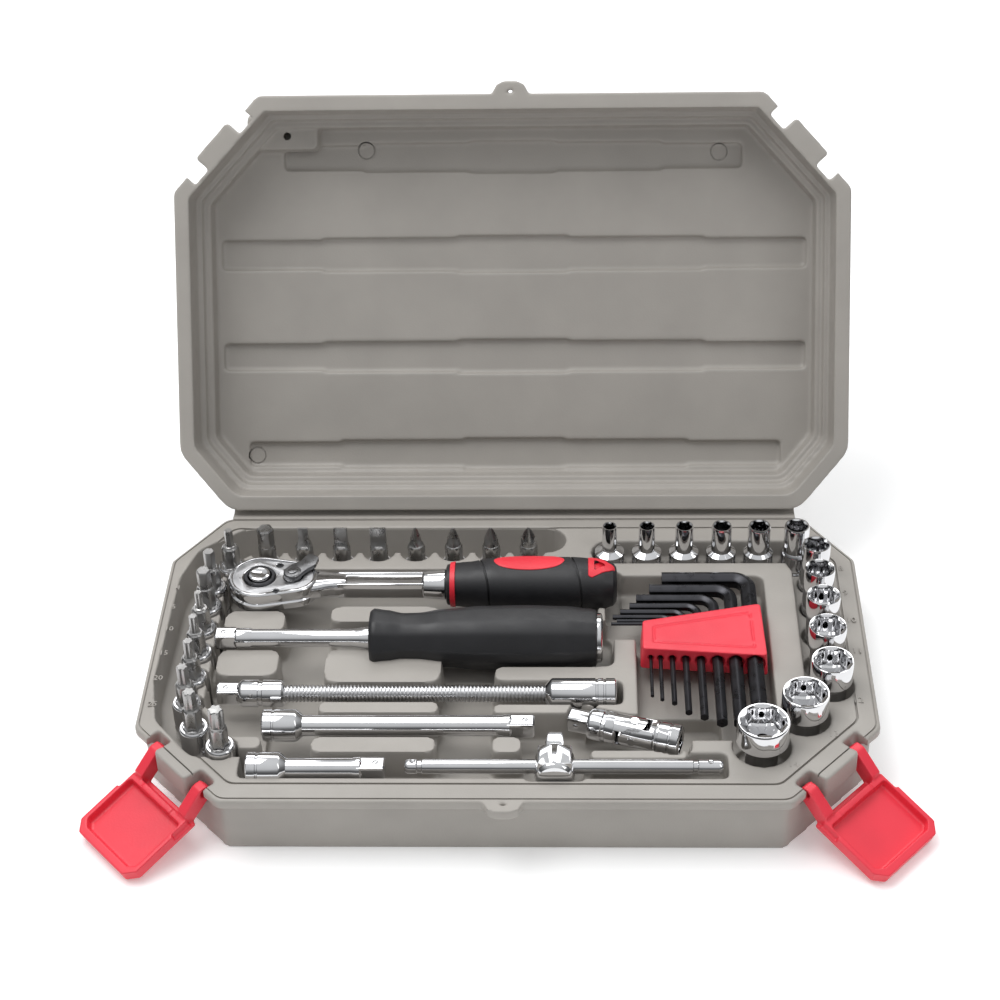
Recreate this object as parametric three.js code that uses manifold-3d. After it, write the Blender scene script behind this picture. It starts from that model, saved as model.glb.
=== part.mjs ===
// Socket wrench set in a blow-moulded case: quarter-inch drive sockets, bit sockets, hex keys,
// a ratchet, a spinner handle, extensions, a sliding T-bar and a universal joint.
// Millimetres, +Z up. The origin is the middle of the case's flat underside, and the front is -Y.
// Everything is in the place that it has with the lid open, the latches hanging and each tool seated.
import * as THREE from 'three';
import { mergeVertices } from 'three/addons/utils/BufferGeometryUtils.js';
import Module from 'manifold-3d';

const wasm = await Module();
wasm.setup();

// ---------- driving dimensions ----------
const caseWidth = 274;          // across the rim flange, left to right
const caseDepth = 166;          // hinge line to the front edge of the rim
const baseHeight = 27.6;        // underside to the rim face
const lidDepth = 34;            // rim face to the lid's outside
const lidCavity = 25;           // rim face to the lid's inner panel
const lidOpening = 120;         // degrees from closed
const rimGap = 0.3;             // between the two rim faces when shut
const frontCorner = { x: 35, y: 38.5 };   // how far the front chamfers cut the sides
const rearCorner = { x: 19, y: 28 };
const lidRearCorner = { x: 20, y: 24 };
const lidOverhang = 4.3;        // how far the lid's rear edge stands behind the base's
const flangeThick = 5;
const flangeReach = 3;          // how far the rim flange stands out of the wall
const lidRimWidth = 6.5;        // rim edge to the lid's cavity
const skin = 2;                 // wall of the blow moulding
const seatGap = 0.3;            // between a seated tool and the tray
const hingeSetback = 1.6;       // the base's rear edge to the back of the case
const hingeAxis = { out: 1.6, up: 2.1 };   // behind the back of the case and over the rim face
const latchWidth = 36;
const latchReach = 40.5;        // pivot to the finger end
const latchHang = 20.5;         // degrees below level when it hangs open
const latchNotch = { from: 9.6, to: 18, depth: 5.5 };
const latchBlockReach = 2.3;
const latchBlockHeight = 10;
const latchPinRadius = 1.5;
const latchPivot = { inset: 2, drop: 5.6 };   // from the chamfer's edge and from the rim face
const driveSquare = 6.35;       // quarter-inch square drive
const driveOuter = 12;          // outside of a female drive end
const drivePlay = 0.15;         // each side of a male square in a female one
const socketLength = 25;
const socketProud = 12.5;       // how far the sockets stand over the rim face
const toolDrop = 1;             // lying tools' axes under the rim face
const bitBody = { radius: 5.6, length: 17, proud: 1.5, chamfer: 0.8 };
const bitShank = 6.35;          // across flats
const bitProud = 18.6;          // tip over the rim face
const rearBitDrop = 7;          // how much lower the rear row of bits sits
const shaftRadius = 4;

const rimZ = baseHeight;
const lyingZ = rimZ - toolDrop;
const hingeY = caseDepth / 2;
const hingeAxisY = hingeY + hingeAxis.out;
const hingeAxisZ = rimZ + hingeAxis.up;

// ---------- colours ----------
const paint = {
  case: { color: 0xa9a298, roughness: 0.6, metalness: 0 },
  red: { color: 0xf0485a, roughness: 0.45, metalness: 0 },
  black: { color: 0x262628, roughness: 0.6, metalness: 0 },
  chrome: { color: 0xd4d6da, roughness: 0.12, metalness: 1 },
  oxide: { color: 0x3a3a3e, roughness: 0.4, metalness: 0.8 },
};
const materials = Object.fromEntries(
  Object.entries(paint).map(([name, look]) => [name, new THREE.MeshStandardMaterial(look)]),
);

// ---------- solids ----------
const degrees = THREE.MathUtils.degToRad;
const set = new THREE.Group();

// A closed three.js geometry as a manifold solid.
function solid(geometry) {
  const bare = geometry.clone();
  bare.deleteAttribute('normal');
  bare.deleteAttribute('uv');
  const merged = mergeVertices(bare, 1e-4);
  const index = Array.from(merged.index.array);
  const kept = [];
  for (let i = 0; i < index.length; i += 3) {
    const [a, b, c] = index.slice(i, i + 3);
    if (a !== b && b !== c && a !== c) kept.push(a, b, c);
  }
  return new wasm.Manifold(new wasm.Mesh({
    numProp: 3,
    vertProperties: new Float32Array(merged.attributes.position.array),
    triVerts: new Uint32Array(kept),
  }));
}

function geometryOf(manifold) {
  const mesh = manifold.getMesh();
  const geometry = new THREE.BufferGeometry();
  geometry.setAttribute('position', new THREE.BufferAttribute(mesh.vertProperties.slice(), 3));
  geometry.setIndex(Array.from(mesh.triVerts));
  geometry.computeVertexNormals();
  return geometry;
}

function union(solids) {
  return solids.reduce((all, one) => all.add(one));
}

function shapeOf(points) {
  return new THREE.Shape(points.map(([x, y]) => new THREE.Vector2(x, y)));
}

function prism(points, low, high) {
  const geometry = new THREE.ExtrudeGeometry(shapeOf(points), { depth: high - low, bevelEnabled: false });
  return solid(geometry.translate(0, 0, low));
}

// A prism whose upper end has another outline with as many points.
function taperedPrism(lower, upper, low, high) {
  const geometry = new THREE.ExtrudeGeometry(shapeOf(lower), { depth: high - low, bevelEnabled: false });
  const position = geometry.attributes.position;
  for (let i = 0; i < position.count; i += 1) {
    if (position.getZ(i) < (high - low) / 2) continue;
    const at = lower.findIndex(([x, y]) => Math.hypot(x - position.getX(i), y - position.getY(i)) < 1e-3);
    position.setXY(i, ...upper[at]);
  }
  return solid(geometry.translate(0, 0, low));
}

function box(x0, x1, y0, y1, z0, z1) {
  const geometry = new THREE.BoxGeometry(x1 - x0, y1 - y0, z1 - z0);
  return solid(geometry.translate((x0 + x1) / 2, (y0 + y1) / 2, (z0 + z1) / 2));
}

// A solid of revolution about Z. The profile is [radius, z] from the lower to the upper end of the axis.
function turned(profile, sides) {
  const points = profile.map(([r, z]) => new THREE.Vector2(r, z));
  return solid(new THREE.LatheGeometry(points, sides).rotateX(Math.PI / 2));
}

function rod(radius, low, high, sides, turn = 0) {
  const geometry = new THREE.CylinderGeometry(radius, radius, high - low, sides);
  return solid(geometry.rotateX(Math.PI / 2).rotateZ(turn).translate(0, 0, (low + high) / 2));
}

// A square bar along Z, given by its width across flats.
function squareBar(width, low, high) {
  return box(-width / 2, width / 2, -width / 2, width / 2, low, high);
}

// A six-sided bar along Z, given by its width across flats.
function hexBar(width, low, high) {
  return rod(width / Math.sqrt(3), low, high, 6);
}

// Moves every edge of a convex outline inwards, so that corners stay true.
function inset(points, by) {
  const count = points.length;
  const lines = points.map(([x, y], i) => {
    const [nx, ny] = points[(i + 1) % count];
    const length = Math.hypot(nx - x, ny - y);
    const normal = [(ny - y) / length, (x - nx) / length];
    return { normal, reach: normal[0] * x + normal[1] * y - by };
  });
  return lines.map((line, i) => {
    const before = lines[(i + count - 1) % count];
    const cross = before.normal[0] * line.normal[1] - before.normal[1] * line.normal[0];
    return [
      (before.reach * line.normal[1] - line.reach * before.normal[1]) / cross,
      (line.reach * before.normal[0] - before.reach * line.normal[0]) / cross,
    ];
  });
}

function addPart(name, manifold, look, parent = set) {
  const mesh = new THREE.Mesh(geometryOf(manifold), materials[look]);
  mesh.name = name;
  parent.add(mesh);
  return mesh;
}

// ---------- the case's plan ----------
const sideX = caseWidth / 2;
const frontY = -caseDepth / 2;
const rearY = hingeY - hingeSetback;

function planWith(rear, backY) {
  return [
    [sideX - frontCorner.x, frontY],
    [sideX, frontY + frontCorner.y],
    [sideX, backY - rear.y],
    [sideX - rear.x, backY],
    [-sideX + rear.x, backY],
    [-sideX, backY - rear.y],
    [-sideX, frontY + frontCorner.y],
    [-sideX + frontCorner.x, frontY],
  ];
}

const plan = planWith(rearCorner, rearY);
const lidPlan = planWith(lidRearCorner, rearY + lidOverhang);
const chamferTurn = Math.atan2(frontCorner.y, frontCorner.x);
const chamferMiddle = [sideX - frontCorner.x / 2, frontY + frontCorner.y / 2];
const sides = [{ name: 'left', sign: -1 }, { name: 'right', sign: 1 }];

// Puts a solid made for a front edge through the origin, facing -Y, at one of the front chamfers.
function atChamfer(manifold, sign) {
  return manifold
    .rotate([0, 0, sign * THREE.MathUtils.radToDeg(chamferTurn)])
    .translate([sign * chamferMiddle[0], chamferMiddle[1], 0]);
}

// Cuts the notches that the latch arms pass through out of a half of the case, and adds the block between them.
function withLatchNotches(half, blockLow, blockHigh, notchLow, notchHigh) {
  const { from, to, depth } = latchNotch;
  return sides.reduce((cut, { sign }) => {
    const notches = [-1, 1].map((way) => {
      const ends = [way * from, way * to].sort((a, b) => a - b);
      return box(ends[0], ends[1], -depth, depth, notchLow, notchHigh);
    });
    const block = box(-from, from, -latchBlockReach, depth + 1, blockLow, blockHigh);
    return cut.subtract(atChamfer(union(notches), sign)).add(atChamfer(block, sign));
  }, half);
}

// ---------- where the tools sit ----------
const rearRowY = hingeY - 24.6;
const columnX = sideX - 17;
const socketSizes = [4, 4.5, 5, 5.5, 6, 7, 8, 9, 10, 11, 12, 13, 14];
const socketOuter = { 4: 5.9, 4.5: 6.6, 5: 7.3, 5.5: 8.1, 6: 9.1, 7: 10.1, 8: 11.1, 9: 11.9,
  10: 13.1, 11: 14.4, 12: 15.8, 13: 17.4, 14: 19.3 };
const socketPitch = 14.9;
const socketPlaces = socketSizes.map((size, i) => {
  if (i < 6) return [sideX - 97.6 + socketPitch * i, rearRowY];
  const column = [-12, -27, -43.3, -61.3, -80.8];
  if (i < 11) return [columnX + 0.6, rearRowY + column[i - 6]];
  return i === 11 ? [columnX - 10.6, rearRowY - 98.4] : [columnX - 27, rearRowY - 113.6];
});
const bitPitch = 15.1;
const bitSides = [[8.4, -10.2], [2.4, -23.4], [1.8, -35.2], [1.6, -48.4], [1.6, -62.6], [1.6, -76.9],
  [1.4, -91.4], [5.8, -105], [16.6, -114.6]];
const rearBits = 8;
const bitPlaces = [
  ...Array.from({ length: rearBits }, (_, i) => [-sideX + 38.2 + bitPitch * i, rearRowY]),
  ...bitSides.map(([x, y]) => [-columnX + x - 0.2, rearRowY + y]),
];
const bitDrop = (i) => (i < rearBits ? rearBitDrop : 0);
const bitNames = ['hex_6', 'slot_4', 'slot_5_5', 'slot_6_5', 'cross_1', 'cross_2', 'cross_3', 'cross_4',
  'hex_3', 'hex_4', 'hex_5', 'star_10', 'star_15', 'star_20', 'star_25', 'star_30', 'star_40'];

const ratchet = { y: hingeY - 49, head: -98.6, headRadius: 12.3, pivot: -85.4, gripFrom: -25, gripTo: 42,
  gripRadius: 10.4, axisZ: rimZ + 2.4, headHalf: 4.6 };
const spinner = { y: hingeY - 81, from: -112.4, gripFrom: -53, gripTo: 36, gripRadius: 12.6,
  axisZ: rimZ + 2.2 };
const flexible = { y: hingeY - 109, from: -108.4, ferrule: -100, coil: -83, end: 14.5, to: 41 };
const long = { y: hingeY - 126.6, from: -89.6, shaft: -75.6, square: 1.6, to: 10.6 };
const short = { y: hingeY - 149.2, from: -93, shaft: -79.4, square: -51.8, to: -42.8 };
const tee = { y: hingeY - 148, from: -35.8, to: 78.6, head: 18.2, radius: 2.7, headRadius: 7.2,
  headReach: 7.5, driveReach: 8, travel: 3 };
const universal = { x: 47.2, y: hingeY - 129.9, turn: -16.3, driveReach: 25, socketReach: 17.5 };
const keys = [
  { size: 6, x: 92.6, bend: 36.8, short: 33, end: -44.4 },
  { size: 5, x: 85.5, bend: 30.2, short: 31, end: -45.6 },
  { size: 4, x: 78.8, bend: 24.8, short: 29.5, end: -45.5 },
  { size: 3, x: 72.6, bend: 20.4, short: 26, end: -42.5 },
  { size: 2.5, x: 67, bend: 17, short: 24, end: -40 },
  { size: 2, x: 62, bend: 14.1, short: 22, end: -35 },
  { size: 1.5, x: 57.6, bend: 11.9, short: 16, end: -33 },
  { size: 1.27, x: 54, bend: 10.2, short: 14.6, end: -31 },
];
const keyZ = rimZ + 2.2;
const keyBendRadius = 5;
const keyPlay = 0.3;
const holder = { plan: [[50.2, -9.6], [98.2, -13.8], [97.4, 18.2], [50.6, 7.6]], low: rimZ - 3, high: rimZ + 6.6 };

// ---------- tray pockets: each is cut to its floor, and the hollow behind the skin keeps off it ----------
const pocketTop = rimZ + 1;
const holeSides = 16;

function roundPocket([x, y], radius, floor) {
  return (grow) => {
    const count = grow ? holeSides / 2 : holeSides;
    return rod(radius + grow * 1.3, floor - grow, pocketTop, count).translate([x, y, 0]);
  };
}

function boxPocket(x0, x1, y0, y1, floor) {
  return (grow) => box(x0 - grow, x1 + grow, y0 - grow, y1 + grow, floor - grow, pocketTop);
}

// A pocket for a piece of this radius that lies along X.
function lyingPocket(from, to, y, radius, z = lyingZ) {
  const half = radius + seatGap;
  return boxPocket(from - seatGap, to + seatGap, y - half, y + half, z - half);
}

const socketFloor = rimZ + socketProud - socketLength - seatGap;
const bitFloor = rimZ + bitBody.proud - bitBody.length - seatGap;
const driveHalf = driveOuter / 2;
const squareHalf = driveSquare / Math.SQRT2;
const universalCut = (grow) => box(
  -universal.driveReach - 1 - grow, universal.socketReach + 1 + grow, -driveHalf - 2.6 - grow,
  driveHalf + 2.6 + grow, lyingZ - driveHalf - seatGap - grow, pocketTop,
).rotate([0, 0, universal.turn]).translate([universal.x, universal.y, 0]);
const pockets = [
  ...socketPlaces.map((place) => roundPocket(place, driveHalf + 0.5, socketFloor)),
  ...bitPlaces.map((place, i) => roundPocket(place, bitBody.radius + 0.5, bitFloor - bitDrop(i))),
  boxPocket(-sideX + 23, 14.4, hingeY - 20.8, hingeY - 8, 9),
  roundPocket([ratchet.head, ratchet.y], ratchet.headRadius + 1, ratchet.axisZ - ratchet.headHalf - seatGap),
  roundPocket([ratchet.head, ratchet.y], squareHalf + 1.5, ratchet.axisZ - ratchet.headHalf - 9),
  boxPocket(ratchet.head, ratchet.gripFrom, ratchet.y - 10.4, ratchet.y + 10.4,
    ratchet.axisZ - ratchet.headHalf - seatGap),
  lyingPocket(ratchet.gripFrom - 1, ratchet.gripTo + 1, ratchet.y, ratchet.gripRadius, ratchet.axisZ),
  lyingPocket(spinner.from, spinner.gripFrom, spinner.y, squareHalf, spinner.axisZ),
  lyingPocket(spinner.gripFrom - 1, spinner.gripTo + 8, spinner.y, spinner.gripRadius, spinner.axisZ),
  lyingPocket(flexible.from - 1, flexible.to + 1, flexible.y, driveHalf),
  lyingPocket(long.from - 1, long.shaft, long.y, driveHalf),
  lyingPocket(long.shaft, long.to + 1, long.y, squareHalf + 0.4),
  lyingPocket(short.from - 1, short.shaft, short.y, driveHalf),
  lyingPocket(short.shaft, short.to + 1, short.y, squareHalf + 0.4),
  lyingPocket(tee.from - 1, tee.to + 1, tee.y, tee.radius + 0.4),
  boxPocket(tee.head - tee.headRadius - tee.travel - 0.6, tee.head + tee.headRadius + tee.travel + 0.6,
    tee.y - tee.headReach - 0.6, tee.y + tee.headReach + tee.driveReach + 0.6, lyingZ - tee.headRadius - seatGap),
  universalCut,
  boxPocket(49, 99.5, -52, 21, rimZ - 4),
  boxPocket(38.4, 99.5, 5, 41.5, rimZ - 4),
  boxPocket(-24.6, -5, -58, -5.5, 16),
  boxPocket(-88, -70, -58, 19.6, 18),
];

// ---------- case base ----------
const wallBottomInset = 3.4;
const tab = { halfWidth: 6, reach: 5, hole: 1.7 };

function hangTab(low, high) {
  const plate = prism([[-tab.halfWidth, 3], [-tab.halfWidth + 2, -tab.reach], [tab.halfWidth - 2, -tab.reach],
    [tab.halfWidth, 3]], low, high);
  return plate.subtract(rod(tab.hole, low - 1, high + 1, 12)).translate([0, frontY, 0]);
}

function latchPins() {
  const { from, to } = latchNotch;
  const pins = [-1, 1].map((way) => {
    const pin = rod(latchPinRadius, from - 1, to + 1, 12).rotate([0, 90 * way, 0]);
    return pin.translate([0, latchPivot.inset, rimZ - latchPivot.drop]);
  });
  return union(pins);
}

const blowHole = 2.2;
const baseHalf = union([
  taperedPrism(inset(plan, wallBottomInset), inset(plan, flangeReach), 0, rimZ - flangeThick + 0.5),
  prism(plan, rimZ - flangeThick, rimZ),
  hangTab(rimZ - flangeThick, rimZ),
]);
const baseOuter = sides.reduce(
  (half, { sign }) => half.add(atChamfer(latchPins(), sign)),
  withLatchNotches(baseHalf, rimZ - latchBlockHeight, rimZ, rimZ - latchBlockHeight, rimZ + 1),
);
const baseHollow = pockets.reduce(
  (hollow, pocket) => hollow.subtract(pocket(skin - 0.4)),
  prism(inset(plan, wallBottomInset + skin + 1.5), skin, rimZ - skin),
).add(rod(blowHole, 0, 20, 10).rotate([-90, 0, 0]).translate([sideX - 50, hingeY - 18, 8]));
addPart('case_base', pockets.reduce((base, pocket) => base.subtract(pocket(0)), baseOuter)
  .subtract(baseHollow), 'case');

// ---------- case lid, made shut and turned open ----------
const lidLow = rimZ + rimGap;
const lidDraft = 2;
const lidHalf = union([
  taperedPrism(inset(lidPlan, flangeReach), inset(lidPlan, flangeReach + 3), lidLow, lidLow + lidDepth),
  prism(lidPlan, lidLow, lidLow + flangeThick),
  hangTab(lidLow, lidLow + flangeThick),
]);
const lidShell = withLatchNotches(lidHalf, lidLow, lidLow + flangeThick, lidLow - 1, lidLow + flangeThick + 4);
const lidInside = taperedPrism(inset(lidPlan, lidRimWidth), inset(lidPlan, lidRimWidth + lidDraft),
  lidLow - 1, lidLow + lidCavity);
const lidSkin = 1.5;
const lidHollow = prism(inset(lidPlan, lidRimWidth + lidDraft + skin), lidLow + lidCavity + lidSkin,
  lidLow + lidDepth - lidSkin);
const lidBoss = rod(blowHole, lidLow + lidCavity - 1, lidLow + lidCavity + lidSkin + 1, 10)
  .translate([-sideX + 45.5, frontY + 14.6, 0]);
const lidGroup = new THREE.Group();
lidGroup.position.set(0, hingeAxisY, hingeAxisZ);
lidGroup.rotation.x = -degrees(lidOpening);
set.add(lidGroup);
addPart('case_lid', lidShell.subtract(lidInside).subtract(lidHollow).subtract(lidBoss)
  .translate([0, -hingeAxisY, -hingeAxisZ]), 'case', lidGroup);

// ---------- latches, made standing up from the pin, facing -Y ----------
// Across is the distance outwards from the pin and up is the distance from the pin towards the finger end.
function latchSolid() {
  const half = latchWidth / 2;
  const floor = { inner: 6, outer: 7.4 };
  const rimHeight = 2.6;
  const wall = 1.6;
  const start = latchPivot.drop + rimGap + flangeThick + 0.5;
  const slab = (x0, x1, out0, out1, up0, up1) => box(x0, x1, -out1, -out0, up0, up1);
  const armHalf = 2.3;
  const armMiddle = (latchNotch.from + latchNotch.to) / 2;
  const eye = latchPinRadius + 1.6;
  const arms = [-1, 1].map((way) => {
    const ring = rod(eye, -armHalf, armHalf, 16).rotate([0, 90, 0]);
    const strut = prism([[-2.9, -1], [1, 2.9], [-4.5, start - 1], [-floor.inner, start + 1],
      [-floor.outer, start + 1], [-floor.outer, start - 2]], -armHalf, armHalf).rotate([90, 0, 90]);
    const hole = rod(latchPinRadius + 0.3, -armHalf - 1, armHalf + 1, 16).rotate([0, 90, 0]);
    return ring.add(strut).subtract(hole).translate([way * armMiddle, 0, 0]);
  });
  const hook = slab(-latchNotch.from + 0.6, latchNotch.from - 0.6, 2.2, floor.inner + 0.2, start, start + 2.4);
  return union([
    slab(-half, half, floor.inner, floor.outer, start - 2, latchReach),
    slab(-half, -half + wall, floor.inner - rimHeight, floor.inner + 0.2, start, latchReach),
    slab(half - wall, half, floor.inner - rimHeight, floor.inner + 0.2, start, latchReach),
    slab(-half, half, floor.inner - rimHeight, floor.inner + 0.2, latchReach - 2, latchReach),
    slab(-half, half, floor.inner - rimHeight, floor.inner + 0.2, start, start + 2.4),
    hook,
    ...arms,
  ]);
}

for (const { name, sign } of sides) {
  const corner = new THREE.Group();
  corner.position.set(sign * chamferMiddle[0], chamferMiddle[1], rimZ - latchPivot.drop);
  corner.rotation.z = sign * chamferTurn;
  const hanging = new THREE.Group();
  hanging.position.y = latchPivot.inset;
  hanging.rotation.x = degrees(90 + latchHang);
  corner.add(hanging);
  set.add(corner);
  addPart(`latch_${name}`, latchSolid(), 'red', hanging);
}

// ---------- sockets ----------
function dotted(size) {
  return String(size).replace('.', '_');
}

function socketSolid(size) {
  const outer = socketOuter[size] / 2;
  const wide = outer > driveHalf;
  const step = wide ? socketLength - socketProud + 1 : socketLength - socketProud - 0.4;
  const neck = wide ? step + 2.4 : step + 1.2;
  const body = turned([
    [0, 0], [driveHalf, 0], [driveHalf, step], [outer, neck], [outer, socketLength], [0, socketLength],
  ], wide ? 16 : 12);
  const mouth = hexBar(size, wide ? neck : 12, socketLength + 1);
  const drive = squareBar(driveSquare + 2 * drivePlay, -1, 8.5);
  const through = rod(Math.min(2.6, size * 0.36), 4, 20, 6);
  return body.subtract(mouth).subtract(drive).subtract(through);
}

socketSizes.forEach((size, i) => {
  const socket = addPart(`socket_${dotted(size)}mm`, socketSolid(size), 'chrome');
  socket.position.set(...socketPlaces[i], rimZ + socketProud - socketLength);
});

// ---------- bit sockets ----------
const bitBottom = rimZ + bitBody.proud - bitBody.length;
const bitLength = bitProud - bitBody.proud + bitBody.length;
const tipLength = 8;

function bladeTip(width) {
  const low = bitLength - tipLength;
  return rod(bitShank / 2, low - 0.5, low + 2, 12)
    .add(box(-width / 2, width / 2, -0.6, 0.6, low + 1, bitLength));
}

function crossTip(spread) {
  const low = bitLength - tipLength;
  const cone = turned([[0, low - 0.5], [bitShank / 2, low - 0.5], [spread, low + 2], [0.6, bitLength], [0, bitLength]], 8);
  const cuts = [45, 135, 225, 315].map((turn) => box(0.7, 6, 0.7, 6, low + 2.5, bitLength + 1)
    .rotate([0, 0, turn]));
  return cuts.reduce((tip, cut) => tip.subtract(cut), cone);
}

function starTip(radius) {
  const low = bitLength - tipLength;
  const points = Array.from({ length: 12 }, (_, i) => {
    const r = i % 2 ? radius * 0.76 : radius;
    return [r * Math.cos(i * Math.PI / 6), r * Math.sin(i * Math.PI / 6)];
  });
  return prism(points, low - 0.5, bitLength);
}

function tipOf(name) {
  const [kind, first, second = '0'] = name.split('_');
  const size = Number(`${first}.${second}`);
  if (kind === 'slot') return bladeTip(size);
  if (kind === 'cross') return crossTip(1.9 + 0.3 * size);
  if (kind === 'star') return starTip(1.1 + size * 0.045);
  return hexBar(size, bitLength - tipLength - 0.5, bitLength);
}

bitNames.forEach((name, i) => {
  const { radius, length, chamfer } = bitBody;
  const body = turned([[0, 0], [radius, 0], [radius, length - chamfer], [radius - chamfer, length], [0, length]], 12);
  const shank = hexBar(bitShank, length - 1, bitLength - tipLength);
  const drive = squareBar(driveSquare + 2 * drivePlay, -1, 8.5);
  const bit = addPart(`bit_${name}`, union([body, shank, tipOf(name)]).subtract(drive), 'chrome');
  bit.position.set(...bitPlaces[i], bitBottom - bitDrop(i));
});

// ---------- hex keys in their holder ----------
function keyGeometry({ size, x, bend, short: reach, end }) {
  const path = new THREE.CurvePath();
  const line = (a, b) => path.add(new THREE.LineCurve3(new THREE.Vector3(...a), new THREE.Vector3(...b)));
  const radius = Math.min(keyBendRadius, size + 1);
  line([x, end, 0], [x, bend - radius, 0]);
  path.add(new THREE.QuadraticBezierCurve3(
    new THREE.Vector3(x, bend - radius, 0), new THREE.Vector3(x, bend, 0), new THREE.Vector3(x - radius, bend, 0)));
  line([x - radius, bend, 0], [x - reach, bend, 0]);
  const around = Array.from({ length: 6 }, (_, i) => {
    const turn = (i + 0.5) * Math.PI / 3;
    return new THREE.Vector2(size / Math.sqrt(3) * Math.cos(turn), size / Math.sqrt(3) * Math.sin(turn));
  });
  return new THREE.ExtrudeGeometry(new THREE.Shape(around), { extrudePath: path, steps: 14 });
}

keys.forEach((key) => {
  addPart(`hex_key_${dotted(key.size)}mm`, solid(keyGeometry(key)), 'oxide').position.z = keyZ;
});
const holderSolid = keys.reduce((body, { size, x }) => {
  const hole = rod(size / Math.sqrt(3) + keyPlay, -40, 40, 6, Math.PI / 6).rotate([90, 0, 0]);
  return body.subtract(hole.translate([x, 0, keyZ]));
}, prism(holder.plan, holder.low, holder.high));
addPart('hex_key_holder', holderSolid, 'red');

// ---------- ratchet ----------
const ratchetGroup = new THREE.Group();
ratchetGroup.position.set(ratchet.head, ratchet.y, ratchet.axisZ);
set.add(ratchetGroup);
const anvil = { radius: 6.4, recess: 3.4, driveReach: 7.6 };
const pivotAt = ratchet.pivot - ratchet.head;
const neckFrom = 22;
const gripFrom = ratchet.gripFrom - ratchet.head;
const gripTo = ratchet.gripTo - ratchet.head;
const lever = { reach: 13, turn: 54, hub: 3.6, thick: 2.4 };
const alongX = (manifold) => manifold.rotate([0, 90, 0]);
const headBody = union([
  rod(ratchet.headRadius, -ratchet.headHalf, ratchet.headHalf, 32),
  rod(9.6, -ratchet.headHalf, ratchet.headHalf, 24).translate([pivotAt, 0, 0]),
  alongX(turned([[0, 17], [4.5, 17], [shaftRadius, 28], [shaftRadius, gripFrom + 20], [0, gripFrom + 20]], 12)),
  box(16, neckFrom, -6.4, 6.4, -3.6, 3.6),
]);
const anvilBore = rod(anvil.radius + 0.1, -ratchet.headHalf - 1, ratchet.headHalf + 1, 24);
const leverSeat = rod(lever.hub + 0.3, ratchet.headHalf - 1, ratchet.headHalf + 1, 16).translate([pivotAt, 0, 0]);
addPart('ratchet_body', headBody.subtract(anvilBore).subtract(leverSeat), 'chrome', ratchetGroup);

const anvilSolid = rod(anvil.radius, -ratchet.headHalf, ratchet.headHalf + 0.2, 24)
  .add(squareBar(driveSquare, -ratchet.headHalf - anvil.driveReach, -ratchet.headHalf + 1))
  .subtract(rod(4.6, ratchet.headHalf - anvil.recess, ratchet.headHalf + 1, 16));
addPart('ratchet_anvil', anvilSolid, 'chrome', ratchetGroup);
addPart('ratchet_release_button', rod(4.3, ratchet.headHalf - anvil.recess + 1.7, ratchet.headHalf + 1.4, 16),
  'chrome', ratchetGroup);

const leverSolid = union([
  rod(lever.hub, -0.7, lever.thick, 16),
  prism([[0, -2.6], [lever.reach - 2, -1.7], [lever.reach, 0], [lever.reach - 2, 1.7], [0, 2.6]], 0.3, lever.thick),
]).rotate([0, 0, lever.turn]);
addPart('ratchet_reversing_lever', leverSolid, 'chrome', ratchetGroup)
  .position.set(pivotAt, 0, ratchet.headHalf);

const gripSolid = alongX(turned([
  [0, gripFrom], [7.4, gripFrom], [8.6, gripFrom + 3], [ratchet.gripRadius, gripFrom + 14],
  [ratchet.gripRadius, gripTo - 12], [8.8, gripTo - 1], [6, gripTo], [0, gripTo],
], 16));
const gripHole = rod(2.9, -20, 20, 12).translate([gripTo - 6.6, 0, 0]);
const tang = alongX(rod(shaftRadius + 0.1, gripFrom - 1, gripFrom + 20.3, 12));
addPart('ratchet_grip', gripSolid.subtract(gripHole).subtract(tang), 'black', ratchetGroup);

// ---------- straight tools that lie along X ----------
function lying(name, manifold, look, y, z = lyingZ) {
  addPart(name, alongX(manifold), look).position.set(0, y, z);
}

// A male square end with its ball detent is square; a female end is a turned sleeve with a square hole.
function femaleEnd(low, high, radius = driveHalf) {
  const edge = 0.8;
  return turned([[0, low], [radius - edge, low], [radius, low + edge], [radius, high - 2], [shaftRadius - 0.6, high],
    [0, high]], 16).subtract(squareBar(driveSquare + 2 * drivePlay, low - 1, low + 8.5));
}

const spinnerTang = 24;
lying('spinner_shaft', union([
  squareBar(driveSquare, spinner.from, spinner.from + 8),
  rod(3.6, spinner.from + 7.5, spinner.gripFrom + spinnerTang, 12),
]), 'chrome', spinner.y, spinner.axisZ);
const spinnerGrip = turned([
  [0, spinner.gripFrom], [9, spinner.gripFrom], [10.4, spinner.gripFrom + 3], [9.2, spinner.gripFrom + 14],
  [spinner.gripRadius, spinner.gripFrom + 30], [spinner.gripRadius, spinner.gripTo - 20],
  [10, spinner.gripTo - 2], [8.4, spinner.gripTo], [0, spinner.gripTo],
], 12).subtract(rod(3.7, spinner.gripFrom - 1, spinner.gripFrom + spinnerTang + 0.3, 12))
  .subtract(squareBar(driveSquare + 2 * drivePlay, spinner.gripTo - 9, spinner.gripTo + 1));
lying('spinner_grip', spinnerGrip, 'black', spinner.y, spinner.axisZ);

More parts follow.
